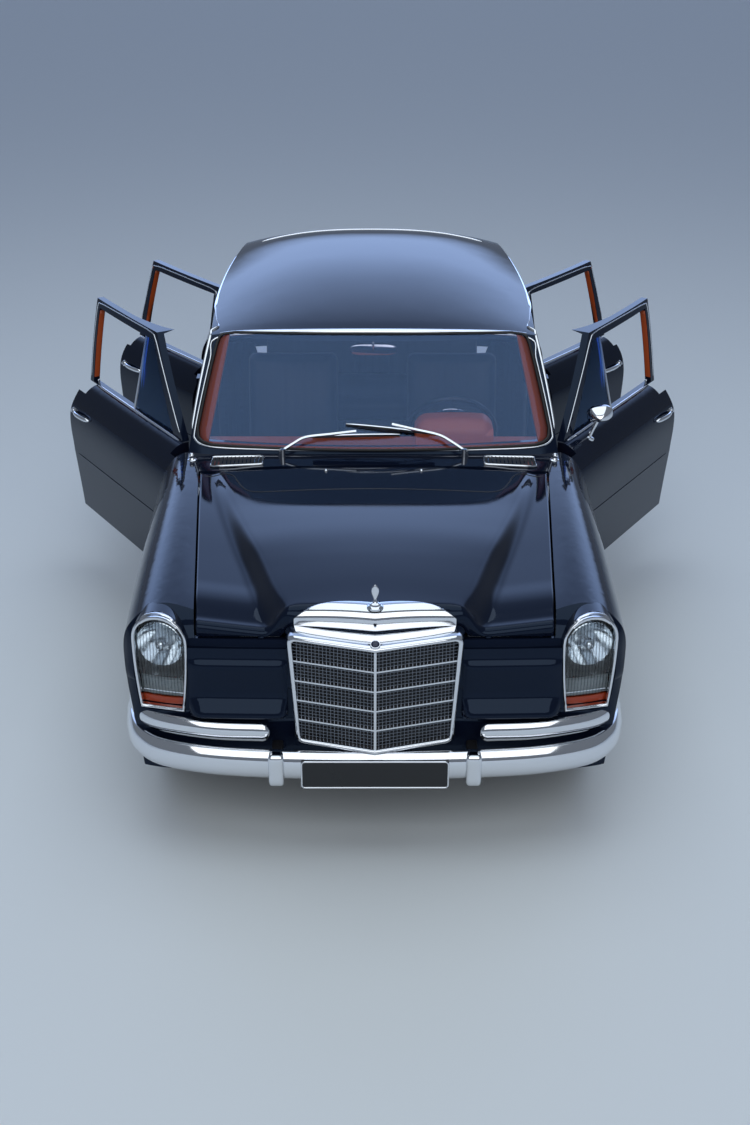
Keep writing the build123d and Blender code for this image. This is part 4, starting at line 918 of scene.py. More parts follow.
# ---- Nose ledges ----
# The pressing beside the grille steps forward twice on its way down to the bumper, so it carries two
# narrow ledges under the lid's lip.
nose_profile = [(0.0, 0.806), (0.0015, 0.790), (0.003, 0.768), (0.006, 0.759), (0.014, 0.748), (0.017, 0.738),
                (0.0175, 0.728), (0.0165, 0.716), (0.014, 0.690), (0.013, 0.640), (0.014, 0.612), (0.018, 0.603),
                (0.030, 0.588), (0.044, 0.562), (0.048, 0.550), (0.048, 0.541), (0.040, 0.537), (0.0, 0.536)]
nose_rows = []
for k in range(25):
    x = 0.320 + 0.362 * k / 24
    ends = min(1.0, (k + 0.001) / 1.5, (24.001 - k) / 3) ** 0.5
    face = at(0.159 + 0.045 * max(x - 0.35, 0) ** 1.4) - 0.0015
    nose_rows.append([Vector((x, face - forward * (0.25 + 0.75 * ends), z)) for forward, z in nose_profile])
pair("nose_ledges", sheet_of(nose_rows), body_paint, sharp=75)

# ---- Scoop edge, wing fittings and sill strips ----
# The lid dips ahead of the screen, and a thin black strip along the edge of the dip is painted shade for the
# shadow line there. A small plated fitting stands on each wing beside the screen's corner, and a bright strip
# is clipped along each sill.
scoop_half = [(0.0, 1.218), (0.20, 1.219), (0.42, 1.223), (0.505, 1.236), (0.545, 1.275), (0.575, 1.350),
              (0.600, 1.425), (0.628, 1.455), (0.680, 1.462), (0.735, 1.462)]
scoop_line = [Vector((p.x, p.y, lid_height(p.x, p.y - front_bumper_y) - 0.0005)) for p in
              curved([(x, at(s), 0) for x, s in mirrored(scoop_half)], 6)]
# A thin black strip laid along the scoop line: painted shade for the shadow line at the dip's edge.
piece("scoop_shadow_line", swept(scoop_line, up, half_round(0.0065, 0.0022), taper=2), black_rubber_and_shade, "bonnet")
fitting_place, _ = laid(wing_skin, [(0.800, at(1.640), 2.0)], down)
pair("wing_fitting", lathe([(0.020, -0.004), (0.020, 0.003), (0.013, 0.006), (0.010, 0.012), (0.013, 0.020),
                            (0.011, 0.028), (0.0055, 0.033), (0.0001, 0.034)], 24),
     turn=set_at(fitting_place[0], (0.05, -0.12, 1)))
sill_run = [(0, at(s), 0.284) for s in spread(1.76, 3.67, 30)]
pair("sill_strip", swept(*laid(skin_of("sills"), sill_run, inwards), half_round(0.020, 0.006), taper=1))

# ---- Wipers, washer jets and air vents ----
# Plated arms on splined pivots carry rubber blades parked across the foot of the screen. Two plated
# louvres let air into the cabin, and two jets stand ahead of them.
cowl_skin = skin_of("cowl", "front_wings", "roof")
wiper_lean = (0, -0.7, 0.7)


def on_screen(x, z, lift):
    return on_windscreen(x, z, glass_stand + lift)


def flat_bar(wide, thick):
    return [(-wide / 2, 0), (-wide / 2 * 0.7, thick), (wide / 2 * 0.7, thick), (wide / 2, 0)]


def moved(turn, form):
    """A form's points and faces after a move."""
    return [turn @ p for p in form[0]], form[1]


wiper_rubber = finish_of("wiper_rubber", (0.008, 0.008, 0.009), 0.0, 0.5, 0.65, 500.0, 0.00002)
wiper_parts, yoke_parts, rubber_parts = [], [], []
for pivot_x, bend, tip, low_end, high_end in (
        (-0.405, (-0.30, 1.022), (-0.077, 1.046), (-0.272, 1.030), (0.117, 1.040)),
        (0.405, (0.29, 1.030), (0.082, 1.070), (-0.122, 1.076), (0.277, 1.040))):
    root, _ = laid(cowl_skin, [(pivot_x, at(1.655), 2.0)], down)
    spindle = set_at(root[0], (0, -0.35, 1))
    wiper_parts.append(moved(spindle, lathe([(0.016, -0.01), (0.016, 0.010), (0.012, 0.016), (0.012, 0.030),
                                             (0.008, 0.036), (0.0001, 0.037)], 20)))
    top, knee, end = spindle @ Vector((0, 0, 0.026)), on_screen(*bend, 0.028), on_screen(*tip, 0.026)
    line = curved([top, (top + knee) / 2 + Vector((0, 0, 0.004)), knee, (knee + end) / 2, end], 4)
    wiper_parts.append(swept(line, wiper_lean, flat_bar(0.013, 0.005)))
    places = list(zip(spread(low_end[0], high_end[0], 12), spread(low_end[1], high_end[1], 12)))
    rubber_parts.append(swept([on_screen(x, z, 0.003) for x, z in places], wiper_lean,
                              [(-0.0025, -0.002), (-0.0035, 0.007), (0.0035, 0.007), (0.0025, -0.002)]))
    yoke = [on_screen(x, z, 0.011 + 0.012 * sin(pi * k / 12)) for k, (x, z) in enumerate(places)]
    yoke_parts.append(swept(yoke, wiper_lean, flat_bar(0.007, 0.0035), taper=2))
piece("wiper_arms", join(*wiper_parts))
piece("wiper_yokes", join(*yoke_parts))
piece("wiper_blades", join(*rubber_parts), wiper_rubber)

vent_corners = [(0.484, 1.532), (0.712, 1.552), (0.712, 1.662), (0.484, 1.636)]
vent_line, _ = laid(cowl_skin, [(x, at(s), 2.0) for x, s in vent_corners], down, 0.004)
frame_line = []
for a, b in zip(vent_line, vent_line[1:] + vent_line[:1]):
    frame_line += [a.lerp(b, t) for t in (0.06, 0.28, 0.5, 0.72, 0.94)]
vent_parts = [swept(frame_line, (0, -0.05, 1), half_round(0.008, 0.006), closed=True)]
for k in range(1, 13):
    ends = [vent_line[0].lerp(vent_line[1], k / 13), vent_line[3].lerp(vent_line[2], k / 13)]
    vent_parts.append(swept(ends, (0.35, 0, 1), [(-0.0028, -0.001), (-0.0024, 0.004), (0.0024, 0.004),
                                                 (0.0028, -0.001)]))
pair("air_vent", join(*vent_parts))
# A near-black sheet under each set of louvres: painted shade for the opening behind them.
pair("air_vent_painted_shade", ([p + Vector((0, 0, 0.0012)) for p in vent_line], [(0, 1, 2, 3)]), black_and_painted_shade)
pair("washer_jet", lathe([(0.008, -0.003), (0.008, 0.002), (0.006, 0.007), (0.003, 0.009), (0.0001, 0.0095)], 18),
     body="bonnet", turn=set_at((0.205, at(1.442), lid_height(0.205, 1.442)), (0, 0.05, 1)))

# ---- Door dressing ----
# Each door carries a bright belt strip, a plated handle with a push button and a thin painted bead
# along its middle. They are clipped or bolted to the door's skin.
door_reach = {"front": (1.744, 2.864), "rear": (2.872, 3.612)}


def shut_to_open(which):
    """The turn of a left door from shut to where it stands at rest."""
    joint = joints[f"{which}_door_left_hinge"]
    pin = Matrix.Translation(joint["pos_m"])
    return pin @ Matrix.Rotation(radians(joint["range_deg"][0]), 4, "Z") @ pin.inverted()


door_turn = {which: shut_to_open(which) for which in door_reach}
door_skin = {which: skin_of(f"{which}_door_left", turn=door_turn[which].inverted()) for which in door_reach}
for which, (start, end) in door_reach.items():
    skin, body, turn = door_skin[which], f"{which}_door_left", door_turn[which]
    belt = zip(*laid(skin, [(0.842, at(s), 0.99) for s in spread(start + 0.012, end - 0.012, 24)], (-0.25, 0, -1)))
    low, outs = zip(*[(p, out) for p, out in belt if p.z < 0.985])
    pair(f"{which}_belt_strip", swept(low, list(outs), half_round(0.014, 0.007), taper=1), body=body, turn=turn)
    bead = [(0, at(s), 0.603) for s in spread(start + 0.004, end - 0.004, 24)]
    pair(f"{which}_door_bead", swept(*laid(skin, bead, inwards), half_round(0.007, 0.003), taper=1), body_paint, body,
         turn=turn)
    grip = [(0, at(end - 0.150 + 0.085 * (k / 8 - 1)), 0.832) for k in range(17)]
    line, outs = laid(skin, grip, inwards)
    raised = [p + out * (0.004 + 0.026 * sin(pi * k / 16) ** 0.6) for k, (p, out) in enumerate(zip(line, outs))]
    pair(f"{which}_door_handle", swept(raised, outs, oval(0.010, 0.006, 12), taper=2), body=body, turn=turn)
    button, button_out = laid(skin, [(0, at(end - 0.045), 0.832)], inwards)
    pair(f"{which}_door_button", lathe([(0.017, -0.003), (0.017, 0.004), (0.013, 0.008), (0.009, 0.008),
                                        (0.009, 0.016), (0.0001, 0.017)], 20), body=body,
         turn=turn @ set_at(button[0], button_out[0]))

# ---- Seats ----
# Sprung frames under foam, covered in dark hide sewn into upright flutes, with plain bolsters round
# the edge. Two front seats, and a rear bench with a folded centre armrest.
seat_hide = finish_of("dark_hide", (0.005, 0.007, 0.013), 0.0, 0.42, 0.58, 380.0, 0.00008)
groove_of = {}
flute_reach = 0.90


def pad(name, size, move, material, body="car_body", radius=0.035, crown=0.014, flutes=0, fluted=0.78, depth=0.005,
        cuts=44):
    """A stuffed block with rounded edges and a crowned top. Its flutes along Y are noted for sewing."""
    grooves = []
    work = cube_of(cuts)
    half = Vector(size) / 2
    pitch = 2 * half.x * fluted / max(flutes, 1)
    for v in work.verts:
        u, w, t = v.co
        place = Vector((u * half.x, w * half.y, t * half.z))
        core = core_of(place, half, radius)
        away = place - core
        if away.length > 1e-9:
            place = core + away.normalized() * radius * min(1.0, away.length / radius)
        groove = 0.0
        if t > 0.5:
            place.z += crown * (1 - u * u) * (1 - w * w)
            if flutes and abs(u) < fluted and abs(w) < flute_reach:
                across = (place.x + half.x * fluted) / pitch
                fade = min(1.0, (flute_reach - abs(w)) * 9) * min(1.0, (fluted - abs(u)) * 14 + 0.25)
                groove = depth * fade * (abs((across % 1.0) - 0.5) * 2) ** 5
        grooves.append(Vector((0, 0, -groove)))
        v.co = place
    bmesh.ops.smooth_vert(work, verts=work.verts, factor=0.25, use_axis_x=True, use_axis_y=True, use_axis_z=True)
    mesh = bpy.data.meshes.new(name)
    work.to_mesh(mesh)
    work.free()
    mesh.transform(move)
    groove_of[name] = [move.to_3x3() @ groove for groove in grooves]
    mesh.polygons.foreach_set("use_smooth", [True] * len(mesh.polygons))
    made = ride(placed(name, mesh), material, body)
    return made


def stuff(pads, cap, push=4.0, steps=20):
    """Swells pads by simulation, keeps each point within a distance of its place, then sews the flutes in."""
    for made in pads:
        cloth = made.modifiers.new("cloth", "CLOTH")
        cloth.settings.quality = 5
        cloth.settings.use_pressure = True
        cloth.settings.uniform_pressure_force = push
        cloth.settings.effector_weights.gravity = 0
        cloth.point_cache.frame_start, cloth.point_cache.frame_end = 1, steps
    for step in range(1, steps + 1):
        bpy.context.scene.frame_set(step)
    graph = bpy.context.evaluated_depsgraph_get()
    swollen = {}
    for made in pads:
        shaped = made.evaluated_get(graph)
        swollen[made.name] = [v.co.copy() for v in shaped.to_mesh().vertices]
        shaped.to_mesh_clear()
    for made in pads:
        made.modifiers.clear()
        for v, place, groove in zip(made.data.vertices, swollen[made.name], groove_of[made.name]):
            away = place - v.co
            v.co += away * min(1.0, cap / max(away.length, 1e-9)) + groove
    bpy.context.scene.frame_set(1)


def leaning(x, station, height, lean):
    """Stands a pad up: its top faces the front, leaning back by so many degrees."""
    return (Matrix.Translation((x, at(station), height)) @ Matrix.Rotation(radians(-lean), 4, "X")
            @ Matrix.Rotation(radians(90), 4, "X"))


front_pads = []
for side, x in (("left", 0.405), ("right", -0.405)):
    flat = Matrix.Translation((x, at(2.462), 0.482)) @ Matrix.Rotation(radians(2.5), 4, "X")
    front_pads.append(pad(f"front_cushion_{side}", (0.485, 0.515, 0.130), flat, seat_hide, flutes=8, radius=0.045,
                          crown=0.018))
    front_pads.append(pad(f"front_back_{side}", (0.475, 0.600, 0.110), leaning(x, 2.845, 0.765, 15), seat_hide,
                          flutes=8, radius=0.045, crown=0.016))
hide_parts("front_seats")
rear_pads = [pad("rear_cushion", (1.230, 0.515, 0.120), Matrix.Translation((0, at(3.590), 0.576)), seat_hide,
                 flutes=20, radius=0.045, crown=0.018, cuts=80),
             pad("rear_back", (1.230, 0.500, 0.120), leaning(0, 3.945, 0.790, 14), seat_hide, flutes=20, radius=0.045,
                 crown=0.012, cuts=80)]
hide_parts("rear_seat")
rear_pads.append(pad("rear_armrest", (0.215, 0.400, 0.060), leaning(0, 3.868, 0.800, 14), seat_hide, radius=0.028,
                     crown=0.010, flutes=4, depth=0.003))
stuff(front_pads + rear_pads, 0.010)

# ---- Dashboard ----
# A steel carrier padded with cognac hide, screwed to the bulkhead. A separate stuffed hood stands
# over the instruments.
# The dash and its hood take the pillars' cognac leather at about twice its brightness: painted light, to lift them in
# the dim cabin behind the glass.
brightened_cognac = finish_of("brightened_cognac", (0.72, 0.145, 0.036), 0.0, 0.40, 0.55, 420.0, 0.0002)
dress(brightened_cognac, "dashboard")
pad("binnacle_hood", (0.356, 0.175, 0.130), Matrix.Translation((0.365, at(1.886), 1.006)), brightened_cognac, radius=0.056,
    crown=0.012, cuts=30)

# ---- Interior mirror ----
# A small oblong mirror in a plated case, hung from the header on a plated stalk that is screwed to
# the roof's inner panel.
def squared_ring(wide, tall, wide_power, tall_power, steps):
    """Places round an oval whose corners are pushed out; a lower power is squarer."""
    return [(wide * abs(c) ** wide_power * (1 if c > 0 else -1), tall * abs(s) ** tall_power * (1 if s > 0 else -1))
            for c, s in oval(1, 1, steps)]


case_rows = [[Vector((x, at(2.115) - forward, 1.318 + z)) for x, z in squared_ring(0.108, 0.026 + grow, 0.5, 0.6, 24)]
             for forward, grow in ((0.012, -0.004), (0.010, 0.0), (-0.004, 0.0), (-0.010, -0.006))]
case_points, case_faces = sheet_of(case_rows, closed=True)
piece("cabin_mirror", (case_points, case_faces + [tuple(range(24)), tuple(range(72, 96))]), sharp=50)
stalk = curved([(0, at(s), z) for s, z in ((2.105, 1.322), (2.098, 1.345), (2.108, 1.372), (2.125, 1.398))], 5)
piece("cabin_mirror_stalk", swept(stalk, (1, 0, 0), oval(0.005, 0.005, 10)))

# ---- Door frames, trim panels and mirror ----
# The window frames are rolled steel with a fine bright bead outside and leather over the inner face of
# the rear upright. Inside, a stitched leather panel carries the armrest, the pull and the winder.
frame_path = {"front": [(1.862, 0.990), (1.990, 1.122), (2.120, 1.250), (2.205, 1.330), (2.260, 1.352), (2.450, 1.357),
                        (2.650, 1.358), (2.815, 1.355), (2.846, 1.335), (2.852, 1.200), (2.853, 0.985)],
              "rear": [(2.886, 0.985), (2.887, 1.150), (2.890, 1.310), (2.915, 1.350), (3.100, 1.354), (3.350, 1.352),
                       (3.520, 1.345), (3.580, 1.320), (3.594, 1.200), (3.602, 0.985)]}
card_end_gap, armrest_long = {"front": 0.082, "rear": 0.040}, {"front": 0.300, "rear": 0.240}
sill_x, sill_z, frame_lean = 0.826, 0.957, 0.247


def window_x(z):
    """How far out the window frame stands at a height."""
    return sill_x - (z - sill_z) * frame_lean


def upright_rows(skin, end):
    """Leather over the face of a door's rear upright, as wide as rays find it at each height."""
    rows = []
    for z in spread(0.985, 1.337, 18):
        hits = []
        for step in range(-12, 19):
            x = window_x(z) + 0.002 * step
            face = skin.ray_cast(Vector((x, at(end - 0.10), z)), Vector(backwards))[0]
            if face and face.y < at(end):
                hits.append((x, face.y))
        if len(hits) > 4:
            inner, outer, (middle, face_y) = hits[0][0], hits[-1][0], hits[len(hits) // 2]
            rows.append([Vector((x, face_y - puff, z)) for x, puff in
                         ((inner + 0.001, -0.004), (inner + 0.002, 0.002), (middle, 0.004), (outer - 0.002, 0.002),
                          (outer - 0.001, -0.004))])
    return rows


for which, (start, end) in door_reach.items():
    skin, body, turn = door_skin[which], f"{which}_door_left", door_turn[which]
    line, outs = laid(skin, curved([(0, at(s), z) for s, z in frame_path[which]], 5), inwards)
    pair(f"{which}_frame_bead", swept(line, outs, half_round(0.0055, 0.0035), taper=1), body=body, turn=turn)
    pair(f"{which}_frame_leather", sheet_of(upright_rows(skin, end)), cognac, body, sharp=70, turn=turn)
    across = spread(start + 0.045, end - card_end_gap[which], 24)
    rows = [laid(skin, [(0, at(s), z) for s in across], (1, 0, 0), 0.003)[0] for z in spread(0.365, 0.930, 12)]
    rows = [row for row in rows if len(row) == 25]
    level = sorted(p.x for row in rows for p in row)[len(rows) * 5]
    rows = [[Vector((min(p.x, level + 0.004), p.y, p.z)) for p in row] for row in rows]
    for card in pair(f"{which}_door_card", sheet_of(rows), cognac, body, sharp=60, turn=turn):
        thicken(card, 0.004, 0)
    middle, winder = at(start + (end - start) * 0.56), at(start + (end - start) * 0.34)
    pull = curved([(level - depth, middle + y, z) for depth, y, z in
                   ((0.006, 0.06, 0.765), (0.035, 0.045, 0.768), (0.040, 0, 0.770), (0.035, -0.045, 0.768),
                    (0.006, -0.06, 0.765))], 5)
    crank = curved([(level - depth, winder + y, z) for depth, y, z in
                    ((0.022, 0, 0.640), (0.026, 0.03, 0.615), (0.030, 0.062, 0.590))], 5)
    knob = moved(set_at((level - 0.038, winder + 0.062, 0.590), inwards),
                 lathe([(0.0001, -0.022), (0.009, -0.020), (0.010, 0.0), (0.006, 0.010)], 16))
    boss = moved(set_at((level, winder, 0.640), inwards),
                 lathe([(0.024, -0.004), (0.022, 0.004), (0.013, 0.010), (0.010, 0.024), (0.0001, 0.026)], 24))
    pair(f"{which}_door_levers", join(swept(pull, up, oval(0.006, 0.006, 10)),
                                      swept(crank, (1, 0, 0), oval(0.006, 0.003, 10)), knob, boss),
         body=body, turn=turn)
    for side, sign in (("left", 1), ("right", -1)):
        mirror = Matrix.Diagonal((sign, 1, 1, 1))
        rest = mirror @ turn @ Matrix.Translation((level - 0.026, middle, 0.690)) @ mirror
        pad(f"{which}_armrest_{side}", (0.052, armrest_long[which], 0.062), rest, cognac, f"{which}_door_{side}",
            radius=0.024, crown=0.006, cuts=20)
    pair(f"{which}_lock_pin", lathe([(0.0085, -0.006), (0.0085, 0.001), (0.0035, 0.003), (0.0035, 0.020),
                                     (0.0060, 0.024), (0.0060, 0.030), (0.0001, 0.033)], 16), body=body,
         turn=turn @ Matrix.Translation((sill_x, at(end - 0.095), sill_z)))
glass_in = door_turn["front"].inverted()
vent_back = max((glass_in @ v.co).y for v in nodes["vent_glass_left"].data.vertices)
divider = [Vector((window_x(z), vent_back + 0.006, z)) for z in spread(0.965, 1.350, 12)]
pair("vent_divider", swept(divider, (1, 0, frame_lean), [(-0.009, -0.010), (-0.009, 0.007), (-0.006, 0.010),
                                                         (0.006, 0.010), (0.009, 0.007), (0.009, -0.010)]),
     body="front_door_left", turn=door_turn["front"])
dress(window_glass, "vent_glass_left", "vent_glass_right")
mirror_low, mirror_high = (Vector(corner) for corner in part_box("door_mirror"))
mirror_middle = (mirror_low + mirror_high) / 2
head_steps = ((0.040, 0.004, 0.003, -0.010), (0.036, 0.016, 0.011, -0.008), (0.026, 0.032, 0.020, -0.005),
              (0.012, 0.047, 0.030, -0.002), (-0.004, 0.057, 0.037, 0.0), (-0.018, 0.061, 0.040, 0.0),
              (-0.021, 0.060, 0.039, 0.0), (-0.021, 0.056, 0.035, 0.0), (-0.017, 0.054, 0.033, 0.0))
head_rows = [[Vector((0.016 + x + 0.4 * min(0, drop), -forward, drop + z)) for x, z in
              squared_ring(wide, tall, 0.72, 0.8, 32)] for forward, wide, tall, drop in head_steps]
head_turn = Matrix.Translation(mirror_middle + Vector((-0.004, 0.0, 0.035))) @ Matrix.Rotation(radians(-8), 4, "Y")
foot = curved([mirror_middle + Vector(step) for step in ((-0.034, 0.004, -0.076), (-0.022, 0.002, -0.040),
                                                         (-0.006, 0.0, -0.004), (0.004, 0.0, 0.022))], 5)
foot_base = moved(set_at(foot[0], (0.25, 0, 1)),
                  lathe([(0.026, -0.010), (0.026, 0.002), (0.020, 0.006), (0.0001, 0.010)], 28))
mirror_head = piece("mirror_head", join(moved(head_turn, sheet_of(head_rows, closed=True, cap=True)),
                                        swept(foot, forwards, oval(0.0095, 0.0095, 14)), foot_base),
                    body="front_door_left", sharp=50)
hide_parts("door_mirror")

# ---- Wheels and tyres ----
# Pressed steel wheels painted like the body, with a plated trim ring and a plated cap whose middle is
# painted. Tall radial tyres have ribs round the tread and fine rings on the sidewall.
tyre_rubber = finish_of("tyre_rubber", (0.014, 0.014, 0.015), 0.0, 0.62, 0.80, 260.0, 0.0003)
cap_navy = finish_of("cap_navy", (0.006, 0.010, 0.024), 0.0, 0.05, 0.10, 900.0, 0.00001)
tread_profile = [(0.203, 0.070), (0.212, 0.086), (0.222, 0.095), (0.240, 0.104), (0.262, 0.109), (0.264, 0.1085),
                 (0.266, 0.1095), (0.285, 0.1100), (0.305, 0.1085), (0.307, 0.1070), (0.309, 0.1078), (0.328, 0.1015),
                 (0.345, 0.0935), (0.355, 0.0860), (0.3595, 0.0800)]
for edge, inner in ((0.078, 0.057), (0.053, 0.035), (0.031, 0.0115)):
    crown = (0.078 - edge) * 0.04
    tread_profile += [(0.3625 + crown, edge), (0.3628 + crown, inner), (0.3555, inner - 0.0006),
                      (0.3555, inner - 0.0034)]
tread_profile += [(0.3650, 0.0075), (0.3650, 0.0)]
full_profile = tread_profile + [(r, -w) for r, w in reversed(tread_profile[:-1])]
tyre_steps, slot_depth = 128, 0.005


def about_axle(profile, steps=96):
    """A (radius, out along X) profile turned about the axle."""
    points, faces = lathe(profile, steps)
    return [Vector((p.z, p.x, p.y)) for p in points], faces


def cut_tread(form):
    """Cuts slots across the outer ribs of the tread, at every second step round it."""
    points = []
    for i, p in enumerate(form[0]):
        r = (p.y ** 2 + p.z ** 2) ** 0.5
        cut = i // len(full_profile) % 2 and r > 0.3605 and abs(p.x) > 0.030
        share = (r - slot_depth) / r if cut else 1
        points.append(Vector((p.x, p.y * share, p.z * share)))
    return points, form[1]


ring_face = 0.0885
ring_steps = ((0.2035, -0.004), (0.206, 0.002), (0.203, 0.006), (0.196, 0.006), (0.186, 0), (0.174, -0.012),
              (0.166, -0.026), (0.163, -0.040))
wheel_parts = (
    ("trim_ring", chrome, [(r, ring_face + out) for r, out in ring_steps]),
    ("hub_cap", chrome, [(0.128, 0.024), (0.130, 0.033), (0.126, 0.041), (0.112, 0.049), (0.094, 0.054),
                         (0.086, 0.054), (0.083, 0.052)]),
    ("cap_middle", cap_navy, [(0.083, 0.0525), (0.074, 0.0550), (0.052, 0.0585), (0.046, 0.059)]),
    ("cap_boss", chrome, [(0.046, 0.0585), (0.044, 0.0635), (0.036, 0.068), (0.018, 0.071), (0.0001, 0.072)]))
# Twelve near-black blocks round each wheel's disc are painted shade for the dark seen through its slots.
slot_shade = stout((0.006, 0.014, 0.026), 0.0028, (0.036, 0, 0.148), cuts=3)
slot_shades = join(*[moved(Matrix.Rotation(2 * pi * k / 12, 4, "X"), slot_shade) for k in range(12)])
for name in corners:
    hub, body = Vector(joints[f"wheel_{name}_spin"]["pos_m"]), f"wheel_{name}"
    move = Matrix.Translation(hub) @ Matrix.Rotation(0 if hub.x > 0 else pi, 4, "Z")
    tyre = piece(f"tyre_{name}_cover", cut_tread(about_axle(full_profile, tyre_steps)), tyre_rubber, body, sharp=32,
                 turn=move)
    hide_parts(f"tyre_{name}")
    for part, look, profile in wheel_parts:
        piece(f"{part}_{name}", about_axle(profile), look, body, sharp=60, turn=move)
    piece(f"slot_shades_{name}", slot_shades, black_and_painted_shade, body, sharp=60, turn=move, slot="dark_steel")

# ---- Rear end ----
# Ribbed lamps wrap the corners in plated frames: amber outside, red in the middle, clear inside. The
# lid has a plated handle above a blank plate, and two tailpipes leave under the bumper. A thin joint
# marks each filler flap, and a fine strip ends the roof.
inner_joint, outer_joint, lamp_s, tail_s = 0.755, 0.838, 5.42, 5.4
tail_lens = finish_of("tail_lens", (0.4, 0.01, 0.01), 0.0, 0.06, 0.14, 60.0, 0.0004)
tail_tree = tail_lens.node_tree
tail_place = node(tail_tree, "TexCoord").outputs["Object"]
tail_side = node(tail_tree, "Math", {0: node(tail_tree, "SeparateXYZ", {"Vector": tail_place}).outputs["X"]},
                 operation="ABSOLUTE")
tail_tone = ramp(tail_tree, tail_side.outputs[0], [(0.0, 0.62, 0.62, 0.60), (inner_joint, 0.36, 0.006, 0.006),
                                                   (outer_joint, 0.60, 0.11, 0.006)], interpolation="CONSTANT")
tail_ribs = node(tail_tree, "TexWave", {"Vector": tail_place, "Scale": 22.0}, bands_direction="Z")
tail_bump = node(tail_tree, "Bump", {"Height": tail_ribs.outputs["Fac"], "Distance": 0.003})
feed(shader_of(tail_lens), {"Base Color": tail_tone, "Normal": tail_bump.outputs["Normal"]})
dress(tail_lens, "tail_lamps")
tail_skin = skin_of("tail_lamps")
tail_ring = [(0.712, 0.637), (0.745, 0.636), (0.80, 0.636), (0.85, 0.636), (0.880, 0.637), (0.890, 0.650),
             (0.893, 0.70), (0.892, 0.755), (0.880, 0.767), (0.85, 0.768), (0.80, 0.768), (0.745, 0.768),
             (0.712, 0.767), (0.709, 0.75), (0.709, 0.70), (0.709, 0.655)]
tail_run = curved([(x, at(lamp_s), z) for x, z in tail_ring], 4, closed=True)
pair("tail_frame", swept(*laid(tail_skin, tail_run, (-0.25, -1, 0)), half_round(0.009, 0.006), closed=True))
for name, x in (("tail_joint_inner", inner_joint), ("tail_joint_outer", outer_joint)):
    joint_run = [(x, at(lamp_s), z) for z in spread(0.640, 0.764, 8)]
    pair(name, swept(*laid(tail_skin, joint_run, (-0.2, -1, 0)), half_round(0.005, 0.004)))
lid_skin = skin_of("boot_lid")
line, outs = laid(lid_skin, [(x, at(tail_s), 0.824) for x in spread(-0.135, 0.135, 18)], forwards)
raised = [p + out * (0.004 + 0.020 * sin(pi * k / 18) ** 0.5) for k, (p, out) in enumerate(zip(line, outs))]
piece("boot_handle", swept(raised, outs, oval(0.013, 0.006, 14), taper=3), body="boot_lid")
strip_run = [(x, at(tail_s), 0.618) for x in spread(-0.66, 0.66, 44)]
piece("boot_strip", swept(*laid(lid_skin, strip_run, forwards), half_round(0.020, 0.007), taper=2), body="boot_lid")
plate_mid, _ = laid(lid_skin, [(0, at(tail_s), 0.715)], forwards, 0.004)
plate_y = plate_mid[0].y
piece("rear_plate_blank", stout((0.520, 0.004, 0.112), 0.0018, (0, plate_y + 0.002, 0.715), cuts=5), plate_black,
      "boot_lid", sharp=50)
plate_frame("rear_plate_frame", 0.262, 0.657, 0.773, plate_y + 0.004, 1, "boot_lid")
spot, out = laid(skin_of("boot_lid", "rear_panels", "rear_quarters"), [(0.60, at(tail_s), 0.700)], forwards)
pair("reversing_lamp", lathe([(0.030, -0.003), (0.030, 0.004), (0.026, 0.008), (0.025, 0.006), (0.016, 0.011),
                              (0.0001, 0.013)], 28), tail_lens, "boot_lid", turn=set_at(spot[0], out[0]))
flap_ring = [(0, at(4.62) + y, 0.852 + z) for y, z in oval(0.062, 0.050, 32)]
pair("filler_joint", swept(*laid(skin_of("rear_quarters"), flap_ring, inwards), half_round(0.0035, 0.0010),
                           closed=True), black_rubber_and_shade)
roof_edge = [(x, at(3.795 - 0.10 * (x / 0.62) ** 2), 2.2) for x in spread(-0.60, 0.60, 40)]
piece("roof_rear_strip", swept(*laid(roof_skin, roof_edge, down), half_round(0.007, 0.004), taper=2))
low, high = (Vector(corner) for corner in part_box("exhaust"))
pair("tail_pipe", lathe([(0.0265, -0.095), (0.0285, -0.090), (0.0290, 0.0), (0.0285, 0.004), (0.0245, 0.004),
                         (0.0235, -0.060)]),
     turn=set_at((high.x - 0.028, high.y + 0.002, (low.z + high.z) / 2), backwards))

# ---- Steering wheel and instruments ----
# A thin-rimmed moulded wheel with a plated horn ring and a padded boss, ahead of two round dials in
# plated rings, which are let into the padded dashboard.
wheel_plastic = finish_of("wheel_plastic", (0.012, 0.012, 0.014), 0.0, 0.14, 0.24, 200.0, 0.00003)
dress(wheel_plastic, "steering_wheel")
wheel_joint = joints["steering_wheel_turn"]
wheel_axis = Vector(wheel_joint["axis"])
wheel_move = set_at(Vector(wheel_joint["pos_m"]), wheel_axis if wheel_axis.y > 0 else -wheel_axis)
horn_line = [Vector((x, y, 0.026)) for x, y in oval(0.118, 0.118, 40)]
piece("horn_ring", swept(horn_line, up, oval(0.0042, 0.0042, 8), closed=True), body="steering_wheel",
      turn=wheel_move)
piece("horn_boss", lathe([(0.052, 0.000), (0.052, 0.020), (0.044, 0.032), (0.024, 0.038), (0.0001, 0.040)]),
      wheel_plastic, "steering_wheel", turn=wheel_move)
piece("horn_boss_ring", lathe([(0.030, 0.034), (0.033, 0.037), (0.030, 0.0395), (0.027, 0.038)]),
      body="steering_wheel", turn=wheel_move)
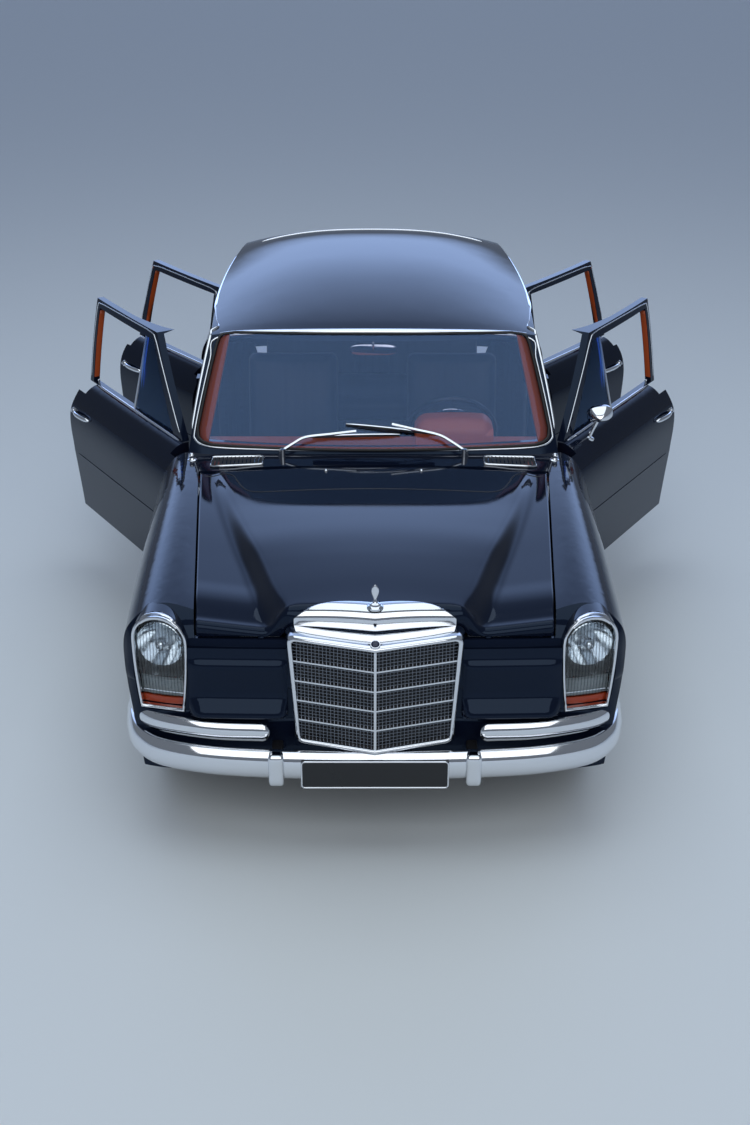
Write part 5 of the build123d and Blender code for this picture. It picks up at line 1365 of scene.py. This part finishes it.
for number, x in ((1, 0.290), (2, 0.440)):
    dial_move = set_at((x, at(1.984), 0.972), (0, 1, 0.25))
    piece(f"dial_{number}", lathe([(0.0001, -0.004), (0.050, -0.004), (0.052, -0.002), (0.052, 0.006), (0.057, 0.007),
                                   (0.058, 0.002), (0.058, -0.010)], 40), plate_black, turn=dial_move)
    piece(f"dial_ring_{number}", lathe([(0.051, 0.004), (0.054, 0.0095), (0.0585, 0.0085), (0.060, 0.000)], 40),
          turn=dial_move)

# ---- Cabin floor, running gear and tank ----
# The floor is stamped steel under loop-pile carpet. Castings, axles and shafts are bare or painted
# steel with oily film; the exhaust is aluminised, the tank black.
carpet = finish_of("carpet", (0.016, 0.018, 0.024), 0.0, 0.85, 0.98, 900.0, 0.0012)
feed(shader_of(carpet), {"Sheen Weight": 0.35})
cast_metal = finish_of("cast_metal", (0.23, 0.23, 0.24), 0.75, 0.42, 0.66, 160.0, 0.0006)
forged_steel = finish_of("forged_steel", (0.30, 0.30, 0.31), 0.9, 0.30, 0.52, 240.0, 0.0002)
dark_steel = finish_of("dark_steel", (0.022, 0.022, 0.026), 0.0, 0.34, 0.58, 300.0, 0.0001)
pipe_steel = finish_of("pipe_steel", (0.36, 0.34, 0.32), 0.9, 0.34, 0.62, 90.0, 0.0003)
dress(carpet, "floor")
dress(cast_metal, "engine", "rear_axle")
dress(forged_steel, "driveline", "knuckle_left", "knuckle_right")
dress(dark_steel, "front_axle", "fuel_tank")
dress(pipe_steel, "exhaust")

# ---- Engine dressing ----
# The cast block carries two ribbed rocker covers, a black pressed air cleaner on a central clamp, and
# a belt-driven fan with pressed blades at its front.
for side, x in (("left", 0.150), ("right", -0.150)):
    ribs = [stout((0.008, 0.440, 0.014), 0.003, (x + 0.020 * step, at(1.010), 0.861), cuts=3) for step in range(-2, 3)]
    cover = stout((0.115, 0.520, 0.075), 0.020, (x, at(1.010), 0.822), cuts=9)
    piece(f"rocker_cover_{side}", join(cover, *ribs), cast_metal)
cleaner_place = Matrix.Translation((0, at(0.980), 0.815))
piece("air_cleaner", lathe([(0.050, -0.020), (0.052, 0.020), (0.070, 0.026), (0.148, 0.030), (0.158, 0.036),
                            (0.160, 0.048), (0.160, 0.094), (0.156, 0.104), (0.146, 0.110), (0.060, 0.116),
                            (0.0001, 0.117)], 48), dark_steel, turn=cleaner_place)
piece("air_cleaner_clamp", lathe([(0.026, 0.114), (0.026, 0.119), (0.010, 0.122), (0.008, 0.134), (0.0001, 0.136)],
                                 24), turn=cleaner_place)
piece("air_cleaner_snout", stout((0.070, 0.210, 0.048), 0.022, (0.120, at(0.800), 0.880)), dark_steel)
fan_parts = [lathe([(0.0001, 0.050), (0.030, 0.048), (0.034, 0.040), (0.034, 0.020), (0.070, 0.018), (0.074, 0.012),
                    (0.066, 0.006), (0.074, 0.000), (0.070, -0.006), (0.030, -0.010)], 40)]
fan_leaf = stout((0.180, 0.070, 0.004), 0.002, (0, 0, 0), cuts=5)
for k in range(6):
    leaf_place = Matrix.Translation((0.118, 0, 0.038)) @ Matrix.Rotation(radians(24), 4, "X")
    fan_parts.append(moved(Matrix.Rotation(radians(60 * k), 4, "Z") @ leaf_place, fan_leaf))
piece("engine_fan", join(*fan_parts), dark_steel, turn=set_at((0, at(0.690), 0.600), forwards))
